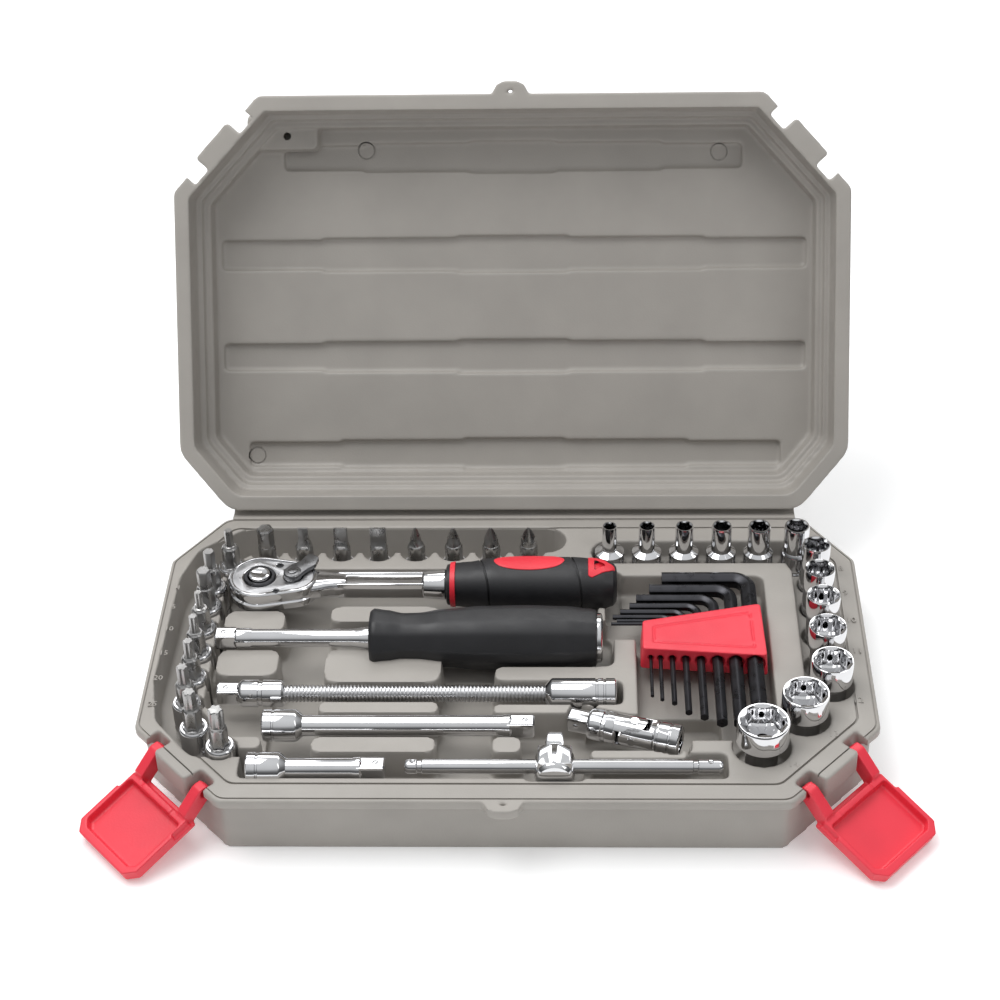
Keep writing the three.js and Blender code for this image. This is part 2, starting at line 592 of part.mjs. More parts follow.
const coilRadius = 3.3;
const flexBore = (low, high) => rod(coilRadius + 0.1, low, high, 12);
lying('flexible_square_end', union([
  squareBar(driveSquare, flexible.from, flexible.ferrule + 1),
  turned([[0, flexible.ferrule], [driveHalf - 1.6, flexible.ferrule], [driveHalf - 0.8, flexible.ferrule + 1],
    [driveHalf - 0.8, flexible.coil - 1], [driveHalf - 1.6, flexible.coil], [0, flexible.coil]], 16),
]).subtract(flexBore(flexible.coil - 10, flexible.coil + 1)), 'chrome', flexible.y);
lying('flexible_coil', rod(coilRadius, flexible.coil - 9.7, flexible.end + 9.7, 12), 'chrome', flexible.y);
lying('flexible_socket_end', femaleEnd(-flexible.to, -flexible.end, driveHalf - 0.2)
  .subtract(flexBore(-flexible.end - 10, -flexible.end + 1)).rotate([0, 180, 0]), 'chrome', flexible.y);

for (const [name, { y, from, shaft, square, to }] of Object.entries({ long, short })) {
  lying(`extension_${name}`, union([
    femaleEnd(from, shaft + 1),
    rod(shaftRadius, shaft - 1, square, 12),
    squareBar(driveSquare, square - 1, to),
  ]).subtract(squareBar(driveSquare + 2 * drivePlay, from - 1, from + 8.5)), 'chrome', y);
}

// ---------- sliding T-bar ----------
lying('t_bar', rod(tee.radius, tee.from, tee.to, 12), 'chrome', tee.y);
const teeHead = rod(tee.headRadius, -tee.headReach, tee.headReach, 20)
  .add(squareBar(driveSquare, tee.headReach - 1, tee.headReach + tee.driveReach))
  .rotate([-90, 0, 0])
  .subtract(alongX(rod(tee.radius + 0.1, -20, 20, 12)));
addPart('t_bar_head', teeHead, 'chrome').position.set(tee.head, tee.y, lyingZ);

// ---------- universal joint: the drive end points to -X in its own frame ----------
const joint = new THREE.Group();
joint.position.set(universal.x, universal.y, lyingZ);
joint.rotation.z = degrees(universal.turn);
set.add(joint);
const cheek = { inner: 3.1, outer: 5.2, half: 2.9, root: 6.3 };
const crossHalf = 2.8;
const yokeRadius = driveHalf - 0.2;

// A yoke with its body on the -Z side and two cheeks each side of the Y axis's pin.
function yoke(body) {
  const eye = rod(cheek.half, -cheek.outer, cheek.outer, 16).rotate([90, 0, 0]);
  const arms = box(-cheek.half, cheek.half, -cheek.outer, cheek.outer, -cheek.root - 1, 0);
  const slot = box(-10, 10, -cheek.inner, cheek.inner, -cheek.root, 10);
  const pins = rod(1.5, -10, 10, 12).rotate([90, 0, 0]);
  return eye.add(arms).subtract(slot).subtract(pins).add(body);
}

const driveYoke = yoke(union([
  rod(yokeRadius, -universal.driveReach + 8, -cheek.root, 16),
  squareBar(driveSquare, -universal.driveReach, -universal.driveReach + 9),
]));
const socketYoke = yoke(rod(yokeRadius, -universal.socketReach, -cheek.root, 16))
  .subtract(squareBar(driveSquare + 2 * drivePlay, -universal.socketReach - 1, -universal.socketReach + 8.5));
const cross = union([
  box(-crossHalf, crossHalf, -crossHalf, crossHalf, -crossHalf, crossHalf),
  rod(1.4, -cheek.outer + 0.2, cheek.outer - 0.2, 12),
  rod(1.4, -cheek.outer + 0.2, cheek.outer - 0.2, 12).rotate([90, 0, 0]),
]);
addPart('universal_socket_yoke', socketYoke.rotate([0, -90, 0]), 'chrome', joint);
addPart('universal_cross', cross, 'chrome', joint);
addPart('universal_drive_yoke', driveYoke.rotate([0, 0, 90]).rotate([0, 90, 0]), 'chrome', joint);

export default set;
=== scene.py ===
"""Socket wrench set in a blow-moulded case: the looks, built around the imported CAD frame.

Shapes are written in millimetres in the frame of the part and scaled to metres as they become objects.
"""

import math

import bmesh
import bpy
from mathutils import Matrix, Vector


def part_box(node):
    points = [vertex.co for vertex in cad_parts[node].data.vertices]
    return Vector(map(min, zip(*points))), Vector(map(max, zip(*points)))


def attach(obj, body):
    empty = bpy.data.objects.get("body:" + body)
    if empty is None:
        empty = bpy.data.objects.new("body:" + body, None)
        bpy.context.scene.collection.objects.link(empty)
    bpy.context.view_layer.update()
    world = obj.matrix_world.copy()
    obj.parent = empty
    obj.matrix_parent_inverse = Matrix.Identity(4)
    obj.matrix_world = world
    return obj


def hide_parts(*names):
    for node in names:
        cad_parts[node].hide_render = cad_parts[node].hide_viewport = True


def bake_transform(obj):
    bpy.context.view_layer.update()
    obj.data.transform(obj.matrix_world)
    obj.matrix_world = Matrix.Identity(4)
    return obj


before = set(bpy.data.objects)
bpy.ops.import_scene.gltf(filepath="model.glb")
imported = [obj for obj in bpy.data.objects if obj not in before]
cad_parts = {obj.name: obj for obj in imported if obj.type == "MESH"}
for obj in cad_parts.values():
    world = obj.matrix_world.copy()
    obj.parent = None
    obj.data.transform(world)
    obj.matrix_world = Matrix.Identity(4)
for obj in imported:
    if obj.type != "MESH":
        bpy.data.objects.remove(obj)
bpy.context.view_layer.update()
MM = 0.001


def place(node):
    """The middle and the size of a CAD node's box, in millimetres."""
    low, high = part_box(node)
    return (low + high) / 2 / MM, (high - low) / MM


# ---------- case plan, as the CAD has it ----------
RIM = place("case_base")[1].z
SIDE = place("case_lid")[1].x / 2
FRONT = -83.0
HINGE_Y = 83.0
REAR = HINGE_Y - 1.6
AXIS_Y = HINGE_Y + 1.6
AXIS_Z = RIM + 2.1
LID_TILT = math.radians(120)
LID_DEPTH = 34.0
LID_CAVITY = 25.0
LYING = RIM - 1.0
LOBE = 0.59


def plan_with(x, y, back):
    """The case's outline, from above, with its rear edge at back and its rear corners cut by x and y."""
    right = [(SIDE - 35, FRONT), (SIDE, FRONT + 38.5), (SIDE, back - y), (SIDE - x, back)]
    return right + [(-a, b) for a, b in reversed(right)]


PLAN = plan_with(19, 28, REAR)
LID_PLAN = plan_with(20, 24, REAR + 4.3)
CHAMFER_TURN = math.atan2(38.5, 35)
CHAMFER_MIDDLE = (SIDE - 17.5, FRONT + 19.25)


# ---------- shape tools ----------
def moved(shape, matrix):
    verts, faces = shape
    return [matrix @ Vector(v) for v in verts], faces


def shifted(shape, x=0.0, y=0.0, z=0.0):
    return moved(shape, Matrix.Translation((x, y, z)))


def turned(shape, degrees, axis):
    return moved(shape, Matrix.Rotation(math.radians(degrees), 4, axis))


def joined(shapes):
    verts, faces = [], []
    for v, f in shapes:
        base = len(verts)
        verts += [Vector(p) for p in v]
        faces += [tuple(i + base for i in face) for face in f]
    return verts, faces


def loft(rings, closed=False):
    """Rings of as many points each, joined in turn. Open ends get a cap."""
    count = len(rings[0])
    verts = [Vector(p) for ring in rings for p in ring]
    faces = []
    pairs = len(rings) if closed else len(rings) - 1
    for k in range(pairs):
        a, b = k * count, (k + 1) % len(rings) * count
        for i in range(count):
            j = (i + 1) % count
            faces.append((a + i, a + j, b + j, b + i))
    if not closed:
        faces.append(tuple(reversed(range(count))))
        faces.append(tuple(range((len(rings) - 1) * count, len(rings) * count)))
    return verts, faces


def ring(radius, z, count):
    """A ring about Z. The radius is a number or a function of the angle."""
    points = []
    for i in range(count):
        a = 2 * math.pi * i / count
        r = radius(a) if callable(radius) else radius
        points.append((r * math.cos(a), r * math.sin(a), z))
    return points


def lathe(profile, count=48, closed=False):
    """Rings about Z at each (radius, z). A closed profile goes back to its first ring."""
    return loft([ring(r, z, count) for r, z in profile], closed)


def flats(sides, width, start=0.0, cut=0.0):
    """The radius of a polygon by its width across flats, with its corners cut back by a share."""
    half = width / 2
    corner = half / math.cos(math.pi / sides) * (1 - cut)

    def radius(angle):
        step = 2 * math.pi / sides
        off = (angle - start + step / 2) % step - step / 2
        return min(half / math.cos(off), corner)

    return radius


def lobed(width):
    """A hexagon mouth whose flanks are relieved, as in sockets that grip on the flats."""
    inner, outer = width * 0.5, width * LOBE

    def radius(angle):
        wave = 0.5 + 0.5 * math.cos(6 * angle)
        return inner + (outer - inner) * wave**1.5

    return radius


def rounded(points, radius, steps=4):
    """An outline with its corners rounded. The radius is one number or one for each corner."""
    count = len(points)
    out = []
    for i, p in enumerate(points):
        r = radius[i] if isinstance(radius, (list, tuple)) else radius
        here = Vector(p)
        before = (Vector(points[i - 1]) - here).normalized()
        after = (Vector(points[(i + 1) % count]) - here).normalized()
        half = before.angle(after) / 2
        reach = r / math.tan(half)
        start, end = here + before * reach, here + after * reach
        for k in range(steps + 1):
            t = k / steps
            out.append(start * (1 - t) ** 2 + here * 2 * t * (1 - t) + end * t**2)
    return [(v.x, v.y) for v in out]


def inset(points, by):
    """A convex outline, counter-clockwise, with every edge moved inwards."""
    count = len(points)
    lines = []
    for i in range(count):
        (x, y), (nx, ny) = points[i], points[(i + 1) % count]
        length = math.hypot(nx - x, ny - y)
        normal = ((ny - y) / length, (x - nx) / length)
        lines.append((normal, normal[0] * x + normal[1] * y - by))
    out = []
    for i in range(count):
        (a, ra), (b, rb) = lines[i - 1], lines[i]
        cross = a[0] * b[1] - b[0] * a[1]
        out.append(((ra * b[1] - rb * a[1]) / cross, (rb * a[0] - ra * b[0]) / cross))
    return out


def level(outline, z):
    return [(x, y, z) for x, y in outline]


def tapered(lower, upper, low, high):
    return loft([level(lower, low), level(upper, high)])


def prism(points, low, high):
    return tapered(points, points, low, high)


def rect(x0, x1, y0, y1):
    return [(x0, y0), (x1, y0), (x1, y1), (x0, y1)]


def block(x0, x1, y0, y1, z0, z1, draft=0.0, radius=0.0):
    """A block that is smaller by the draft at its top, or at its bottom if the draft is negative."""
    grow = max(draft, 0.0)
    shrink = max(-draft, 0.0)
    lower = rect(x0 + shrink, x1 - shrink, y0 + shrink, y1 - shrink)
    upper = rect(x0 + grow, x1 - grow, y0 + grow, y1 - grow)
    if radius:
        lower, upper = rounded(lower, radius), rounded(upper, radius)
    return tapered(lower, upper, z0, z1)


def capsule(a, b, radius, z0, z1, draft):
    """A slot with round ends from a to b. The draft makes its bottom smaller."""
    a, b = Vector(a), Vector(b)
    along = (b - a).normalized()
    start = math.atan2(along.y, along.x)
    low, high = [], []
    for end, base in ((b, start - math.pi / 2), (a, start + math.pi / 2)):
        for k in range(9):
            t = base + math.pi * k / 8
            direction = Vector((math.cos(t), math.sin(t)))
            low.append((*(end + direction * (radius - draft)), z0))
            high.append((*(end + direction * radius), z1))
    return loft([low, high])


def mesh_of(shape):
    verts, faces = shape
    mesh = bpy.data.meshes.new("shape")
    mesh.from_pydata([tuple(v) for v in verts], [], faces)
    bm = bmesh.new()
    bm.from_mesh(mesh)
    bmesh.ops.recalc_face_normals(bm, faces=bm.faces)
    bm.to_mesh(mesh)
    bm.free()
    return mesh


def linked(name, data):
    thing = bpy.data.objects.new(name, data)
    bpy.context.scene.collection.objects.link(thing)
    return thing


def temporary(shape):
    return linked("temporary", mesh_of(shape))


def settle(thing):
    """Applies the modifiers of an object and returns the object."""
    graph = bpy.context.evaluated_depsgraph_get()
    mesh = bpy.data.meshes.new_from_object(thing.evaluated_get(graph))
    thing.modifiers.clear()
    thing.data = mesh
    return thing


def boolean(thing, shape, operation):
    other = temporary(shape)
    change = thing.modifiers.new("cut", "BOOLEAN")
    change.operation = operation
    change.solver = "MANIFOLD"
    change.object = other
    settle(thing)
    bpy.data.objects.remove(other)
    return thing


def cut(thing, *shapes):
    for shape in shapes:
        boolean(thing, shape, "DIFFERENCE")
    return thing


def fused(thing, *shapes):
    for shape in shapes:
        boolean(thing, shape, "UNION")
    return thing


def shape_of(thing):
    """The shape of a temporary object, which is removed."""
    verts = [v.co.copy() for v in thing.data.vertices]
    faces = [tuple(p.vertices) for p in thing.data.polygons]
    bpy.data.objects.remove(thing)
    return verts, faces


def moulded(thing, voxel, smooth):
    """Gives a plastic moulding its soft edges: a fine remesh, smoothed."""
    change = thing.modifiers.new("remesh", "REMESH")
    change.mode = "VOXEL"
    change.voxel_size = voxel
    settle(thing)
    change = thing.modifiers.new("smooth", "SMOOTH")
    change.factor = 0.5
    change.iterations = smooth
    return settle(thing)


def dressed(name, thing, material, sharp):
    """Names a temporary object, brings it to metres and gives it its look."""
    thing.name = name
    thing.data.name = name
    thing.data.transform(Matrix.Scale(MM, 4))
    thing.data.materials.clear()
    thing.data.materials.append(material)
    thing.data.shade_smooth()
    thing.data.set_sharp_from_angle(angle=math.radians(sharp))
    return thing


def finished(name, shape, material, body, nodes=(), *, slot, sharp=32, bevel=0.0):
    """A piece of the object from a shape or a temporary object, riding on a body."""
    thing = shape if isinstance(shape, bpy.types.Object) else temporary(shape)
    if bevel:
        change = thing.modifiers.new("bevel", "BEVEL")
        change.width = bevel
        change.segments = 2
        change.limit_method = "ANGLE"
        change.angle_limit = math.radians(30)
        settle(thing)
    dressed(name, thing, material, sharp)
    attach(thing, body)
    if nodes:
        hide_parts(*nodes)


# ---------- materials ----------
class Look:
    """A Principled material and short names for the nodes that shape it."""

    def __init__(self, name, colour, roughness, metallic=0.0, **sockets):
        self.material = bpy.data.materials.new(name)
        self.material.use_nodes = True
        self.tree = self.material.node_tree
        self.shader = self.tree.nodes["Principled BSDF"]
        self.shader.inputs["Base Color"].default_value = (*colour, 1)
        self.shader.inputs["Roughness"].default_value = roughness
        self.shader.inputs["Metallic"].default_value = metallic
        for socket, value in sockets.items():
            self.shader.inputs[socket.replace("_", " ")].default_value = value
        self.coordinates = self.node("ShaderNodeTexCoord").outputs["Object"]

    def node(self, kind, **values):
        made = self.tree.nodes.new(kind)
        for key, value in values.items():
            if hasattr(made, key):
                setattr(made, key, value)
            else:
                made.inputs[key.replace("_", " ")].default_value = value
        return made

    def link(self, a, b):
        self.tree.links.new(a, b)

    def noise(self, scale, detail=3.0, stretch=(1, 1, 1)):
        mapping = self.node("ShaderNodeMapping")
        mapping.inputs["Scale"].default_value = stretch
        self.link(self.coordinates, mapping.inputs["Vector"])
        texture = self.node("ShaderNodeTexNoise", Scale=scale, Detail=detail)
        self.link(mapping.outputs["Vector"], texture.inputs["Vector"])
        return texture.outputs["Fac"]

    def ramp(self, source, low, high, at=(0.3, 0.7)):
        ramp = self.node("ShaderNodeValToRGB")
        ramp.color_ramp.elements[0].position = at[0]
        ramp.color_ramp.elements[1].position = at[1]
        ramp.color_ramp.elements[0].color = (*low, 1)
        ramp.color_ramp.elements[1].color = (*high, 1)
        self.link(source, ramp.inputs["Fac"])
        return ramp.outputs["Color"]

    def spread(self, source, low, high):
        """The source, from 0.3 to 0.7, as a value from low to high."""
        ranged = self.node("ShaderNodeMapRange")
        for key, value in (("From Min", 0.3), ("From Max", 0.7), ("To Min", low), ("To Max", high)):
            ranged.inputs[key].default_value = value
        self.link(source, ranged.inputs["Value"])
        return ranged.outputs["Result"]

    def colour(self, source):
        self.link(source, self.shader.inputs["Base Color"])
        return self

    def roughness(self, source):
        self.link(source, self.shader.inputs["Roughness"])
        return self

    def bump(self, source, distance, strength=1.0):
        bump = self.node("ShaderNodeBump")
        bump.inputs["Strength"].default_value = strength
        bump.inputs["Distance"].default_value = distance
        self.link(source, bump.inputs["Height"])
        if self.shader.inputs["Normal"].is_linked:
            self.link(self.shader.inputs["Normal"].links[0].from_socket, bump.inputs["Normal"])
        self.link(bump.outputs["Normal"], self.shader.inputs["Normal"])
        return self


def shade(colour, factor):
    return tuple(c * factor for c in colour)


def plastic(name, colour, roughness, grain, spread):
    look = Look(name, colour, roughness)
    look.colour(look.ramp(look.noise(38), shade(colour, 1 - spread), shade(colour, 1 + spread)))
    look.roughness(look.spread(look.noise(160), roughness - 0.07, roughness + 0.07))
    look.bump(look.noise(grain, 2), 0.00012, 0.35)
    return look.material


def metal(name, colour, roughness, brushed=(1, 1, 1), scratches=0.12):
    look = Look(name, colour, roughness, metallic=1.0)
    fine = look.noise(900, 3, brushed)
    look.colour(look.ramp(look.noise(60), shade(colour, 0.94), shade(colour, 1.04)))
    look.roughness(look.spread(look.noise(220, 4), roughness * 0.6, roughness * 1.5))
    look.bump(fine, 0.00002, scratches)
    return look.material


CASE = plastic("case_plastic", (0.36, 0.338, 0.31), 0.5, 1400, 0.05)
RED = plastic("red_plastic", (0.79, 0.036, 0.062), 0.38, 1200, 0.06)
GRIP = plastic("grip_rubber", (0.016, 0.016, 0.018), 0.46, 2200, 0.12)
GRIP_RED = plastic("grip_red", (0.78, 0.03, 0.05), 0.42, 2200, 0.06)
OXIDE = metal("black_oxide", (0.05, 0.05, 0.055), 0.34, (1, 0.05, 1), 0.2)
CHROME = metal("chrome", (0.69, 0.69, 0.70), 0.07)
SATIN = metal("satin_chrome", (0.53, 0.53, 0.54), 0.28, (0.04, 1, 1), 0.3)
STEEL = metal("bit_steel", (0.36, 0.355, 0.35), 0.3, (1, 1, 0.06), 0.3)
DARK = metal("dark_steel", (0.07, 0.07, 0.075), 0.35)
LEVER = metal("lever_steel", (0.2, 0.2, 0.205), 0.3)
PLATE = metal("plate_steel", (0.52, 0.52, 0.53), 0.42, (0.04, 1, 1), 0.4)


def bright(name, shape, body, *nodes, look=CHROME, **options):
    """A piece in chrome, or in another of the steels."""
    finished(name, shape, look, body, nodes, slot="chrome", **options)



# ---------- where the tools stand ----------
SOCKET_OUTER = {
    4: 5.9, 4.5: 6.6, 5: 7.3, 5.5: 8.1, 6: 9.1, 7: 10.1, 8: 11.1, 9: 11.9,
    10: 13.1, 11: 14.4, 12: 15.8, 13: 17.4, 14: 19.3,
}  # fmt: skip
SOCKETS = list(SOCKET_OUTER)
BITS = [
    "hex_6", "slot_4", "slot_5_5", "slot_6_5", "cross_1", "cross_2", "cross_3", "cross_4",
    "hex_3", "hex_4", "hex_5", "star_10", "star_15", "star_20", "star_25", "star_30", "star_40",
]  # fmt: skip


def dotted(size):
    return str(size).replace(".", "_")


def socket_node(size):
    return f"socket_{dotted(size)}mm"


socket_places = {s: place(socket_node(s))[0] for s in SOCKETS}
bit_places = {b: place(f"bit_{b}")[0] for b in BITS}
BIT_TIP = RIM + 18.6


def bit_drop(name):
    """How much lower than the others a bit sits: the rear row's holes are deeper."""
    return BIT_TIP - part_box(f"bit_{name}")[1].z / MM


# ---------- case base ----------
def at_chamfer(shape, sign):
    """Puts a shape made for a front edge through the origin, facing -Y, at a front chamfer."""
    place_there = Matrix.Translation((sign * CHAMFER_MIDDLE[0], CHAMFER_MIDDLE[1], 0))
    return moved(shape, place_there @ Matrix.Rotation(sign * CHAMFER_TURN, 4, "Z"))


def notched(half, block_low, block_high, notch_low, notch_high, depth=5.5):
    """Cuts the notches for the latch arms and adds the block between them."""
    for sign in (-1, 1):
        for way in (-1, 1):
            x0, x1 = sorted((way * 9.6, way * 18))
            cut(half, at_chamfer(block(x0, x1, -depth, depth, notch_low, notch_high, radius=1.2), sign))
        fused(half, at_chamfer(block(-9.6, 9.6, -2.3, 6, block_low, block_high, radius=1.2), sign))
    return half


def hang_tab(low, high):
    outline = [(-8, 1), (-5.5, -3.6), (-2.5, -5), (2.5, -5), (5.5, -3.6), (8, 1)]
    plate = cut(temporary(prism(outline, low, high)), lathe([(1.7, low - 1), (1.7, high + 1)], 20))
    return shifted(shape_of(plate), y=FRONT)


def band(outer, inner, radius, z0, z1):
    """A closed band between two outlines, for cutting a groove."""
    outer, inner = rounded(outer, radius), rounded(inner, radius)
    corners = ((outer, z0), (outer, z1), (inner, z1), (inner, z0))
    return loft([level(outline, z) for outline, z in corners], closed=True)


def groove(outline, half, z0, z1):
    """A band that follows an outline, half its width on each side."""
    return band(inset(outline, -half), inset(outline, half), 6, z0, z1)


FLOOR = RIM - 13.5
TOP = RIM + 2
JOINT = Vector((47.2, -46.9, LYING))
JOINT_TURN = -16.3


def build_base():
    wall_low, wall_high = rounded(inset(PLAN, 3.4), 5), rounded(inset(PLAN, 3), 5)
    base = temporary(tapered(wall_low, wall_high, 0, RIM - 4.5))
    slope = ((0, RIM - 5), (0, RIM - 1.2), (7, RIM))
    rim = loft([level(rounded(inset(PLAN, by), 5), z) for by, z in slope])
    fused(base, rim, hang_tab(RIM - 5, RIM - 1.0))
    notched(base, RIM - 10, RIM, RIM - 10, RIM + 1)
    pockets = [
        (-113, 34.5, -36, 47, FLOOR, 5), (-108, 30, -61, -30, FLOOR, 5),
        (-96, 80.5, -72, -58.5, FLOOR + 2, 3), (28, 68, -60, -38, FLOOR, 5),
        (-26.5, -4, -58, -6, 11.5, 3), (-90, -67, -58, 21, 11.5, 3),
        (-26.5, 44.5, 22.6, 45.2, 16.6, 4), (-54.5, 40.5, -11.6, 15.6, 14.2, 4),
        (-5, 43.5, -33, -19.5, FLOOR + 2, 3), (37, 100, 4, 42.5, RIM - 10, 4),
        (48.5, 100, -52, 21, RIM - 10, 4), (52, 80, -45, -30, RIM - 17, 3),
        (7.2, 29.2, -73.4, -49.2, FLOOR + 0.5, 2.5),
    ]  # fmt: skip
    cutters = [block(x0, x1, y0, y1, floor, TOP, -0.8, radius) for x0, x1, y0, y1, floor, radius in pockets]
    trough = [(14, 65.5), (-106, 65.5), (-119.5, 55), (-124, 40), (-125.5, -18), (-122, -38), (-110, -53)]
    shelf = [(39, 57.5), (114, 57.5), (118.5, 47), (118.5, -22)]
    for line, radius, floor, draft in ((trough, 8.2, RIM - 16, 1.2), (shelf, 7.3, RIM - 8, 1.0)):
        for a, b in zip(line, line[1:], strict=False):
            cutters.append(capsule(a, b, radius, floor, TOP, draft))
    cut(base, *cutters)
    islands = [
        (-70, -27, 14.5, 24, 4), (-111, -87, 8.5, 21.5, 5), (-111, -87, -17, -1.5, 5),
        (-69.5, -25, -20.5, -1.2, 5), (-70, -25, -37.4, -31, 4), (-106, -89, -56.5, -49.6, 3),
        (-71, -25, -58.4, -50, 4), (-5, 36, -19.6, -11.4, 4), (-5, 33, -37.6, -32.6, 3),
        (-5, 6, -58.4, -50, 3), (31, 66, -61.5, -56.8, 2),
    ]  # fmt: skip
    spread = 0.8
    for x0, x1, y0, y1, radius in islands:
        radius = min(radius, (y1 - y0) / 2 - 0.3)
        sides = (x0 - spread, x1 + spread, y0 - spread, y1 + spread)
        fused(base, block(*sides, 8, RIM - 0.3, 1.0, radius))
    holes = []
    for name, spot in bit_places.items():
        seat = RIM - 15.8 - bit_drop(name)
        holes.append(shifted(lathe([(6.1, seat), (6.5, TOP)], 24), spot.x, spot.y))
    for size, spot in socket_places.items():
        radius = max(6.8, SOCKET_OUTER[size] / 2 + 1.1)
        holes.append(shifted(lathe([(radius - 0.4, 14.6), (radius, TOP)], 32), spot.x, spot.y))
    cut(base, *holes)
    yoke = block(-26.5, 19.5, -8.2, 8.2, LYING - 7.4, TOP, -0.6, 3)
    cut(base, shifted(turned(yoke, JOINT_TURN, "Z"), JOINT.x, JOINT.y))
    underside = block(-110, 110, -60, 60, -1, 1.2, 0, 8)
    back_panel = block(-40, 40, REAR - 3.4, REAR + 4, 3, 20, 0, 2)
    cut(base, underside, back_panel)
    return base


VOXEL = 0.7
base = moulded(build_base(), VOXEL, 2)
for by, half, depth in ((8.2, 0.45, 1.1), (1.6, 0.3, 1.6)):
    cut(base, groove(inset(PLAN, by), half, RIM - depth, TOP))
finished("case_tray", base, CASE, "base", ["case_base"], sharp=60, slot="case")


def raised_number(text, x, y, tall):
    """A plain size number that stands a little out of the rim's slope."""
    curve = bpy.data.curves.new("number", "FONT")
    curve.body, curve.size, curve.extrude = text, tall, 0.25
    curve.align_x, curve.align_y, curve.resolution_u = "CENTER", "CENTER", 2
    thing = linked("number", curve)
    mesh = bpy.data.meshes.new_from_object(thing.evaluated_get(bpy.context.evaluated_depsgraph_get()))
    shape = ([v.co.copy() for v in mesh.vertices], [tuple(p.vertices) for p in mesh.polygons])
    bpy.data.objects.remove(thing)
    return shifted(shape, x, y, RIM - 0.1)


def build_numbers():
    numbers = []
    for size in SOCKETS[5:]:
        spot = socket_places[size]
        out = Vector((1, 0)) if size < 12 else Vector((0.74, -0.67))
        at = Vector((spot.x, spot.y)) + out * (SOCKET_OUTER[size] / 2 + 4.6)
        numbers.append(raised_number(str(size), at.x, at.y, 4.2))
    for name in BITS[9:-2]:
        spot = bit_places[name]
        numbers.append(raised_number(name.split("_")[1], -SIDE + 5.2, spot.y, 3.6))
    return joined(numbers)


finished("size_numbers", build_numbers(), CASE, "base", slot="case", sharp=40)


# ---------- case lid, made shut and turned open ----------
def opened(thing):
    matrix = (
        Matrix.Translation((0, AXIS_Y, AXIS_Z))
        @ Matrix.Rotation(-LID_TILT, 4, "X")
        @ Matrix.Translation((0, -AXIS_Y, -AXIS_Z))
    )
    thing.data.transform(matrix)
    return thing


CEILING = RIM + 0.3 + LID_CAVITY
SOFT = [5, 5, 11, 11, 11, 11, 5, 5]


def lid_outline(by):
    """The lid's outline moved inwards, with its rear corners more rounded than the front ones."""
    return rounded(inset(LID_PLAN, by), [max(r - by * 0.35, 3) for r in SOFT])


def build_lid():
    low = RIM + 0.3
    high = low + LID_DEPTH
    lid = temporary(tapered(lid_outline(3), lid_outline(6), low, high))
    fused(lid, prism(lid_outline(0), low, low + 5), hang_tab(low, low + 5))
    notched(lid, low, low + 5, low - 1, low + 9, 4.6)
    hollows = [(6.0, 7.0, low - 1, low + 13.2), (8.6, 9.6, low + 9, low + 17)]
    for lower, upper, z0, z1 in [*hollows, (11.6, 13, low + 10, CEILING)]:
        cut(lid, tapered(lid_outline(lower), lid_outline(upper), z0, z1))
    for d0, d1, half in ((136, 147, 95), (95, 108, 122), (53, 65, 122), (12.5, 23.5, 112)):
        y0, y1 = HINGE_Y - d1, HINGE_Y - d0
        steps = []
        for share, grow in ((1, 0), (0.66, 0.8), (0.2, 1.5)):
            x = half * share
            steps.append(block(-x, x, y0 - grow, y1 + grow, CEILING - 1, CEILING + 2.4, 0.7, 2))
        cut(lid, *steps)
    boss = block(-110, -79, HINGE_Y - 160, HINGE_Y - 144, CEILING - 6, CEILING + 1, -1, 3)
    outer_panel = block(-111, 111, REAR - 76, REAR - 8, high - 1.4, high + 1, 0, 8)
    cut(fused(lid, boss), outer_panel)
    return lid


def marked(lid):
    """The blow hole and the round marks of the mould's pins."""
    cut(lid, shifted(lathe([(1.6, CEILING - 8), (1.6, CEILING + 1)], 20), -92.6, HINGE_Y - 150.4))
    for x, d in ((-60.6, 144.5), (-108.6, 17.5), (85.3, 143)):
        mark = lathe(rect(3.1, 3.7, CEILING - 1, CEILING + 2.9), 32, True)
        cut(lid, shifted(mark, x, HINGE_Y - d))
    return lid


lid = opened(marked(moulded(build_lid(), VOXEL, 2)))
finished("case_cover", lid, CASE, "lid", ["case_lid"], sharp=60, slot="case")


def build_web():
    """The thin moulded web between the halves."""
    line = [(80.4, 27.0), (82.0, 26.9), (83.6, 26.5), (85.0, 26.3), (86.2, 26.4), (87.0, 26.9)]
    half, thick = SIDE - 21.5, 0.9
    rings = []
    for i, (y, z) in enumerate(line):
        before, after = Vector(line[max(i - 1, 0)]), Vector(line[min(i + 1, len(line) - 1)])
        along = (after - before).normalized()
        down = Vector((along.y, -along.x)) * thick
        low_y, low_z = y + down.x, z + down.y
        rings.append([(-half, y, z), (half, y, z), (half, low_y, low_z), (-half, low_y, low_z)])
    return loft(rings)


web = dressed("hinge_web", temporary(build_web()), CASE, 50)
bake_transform(web)


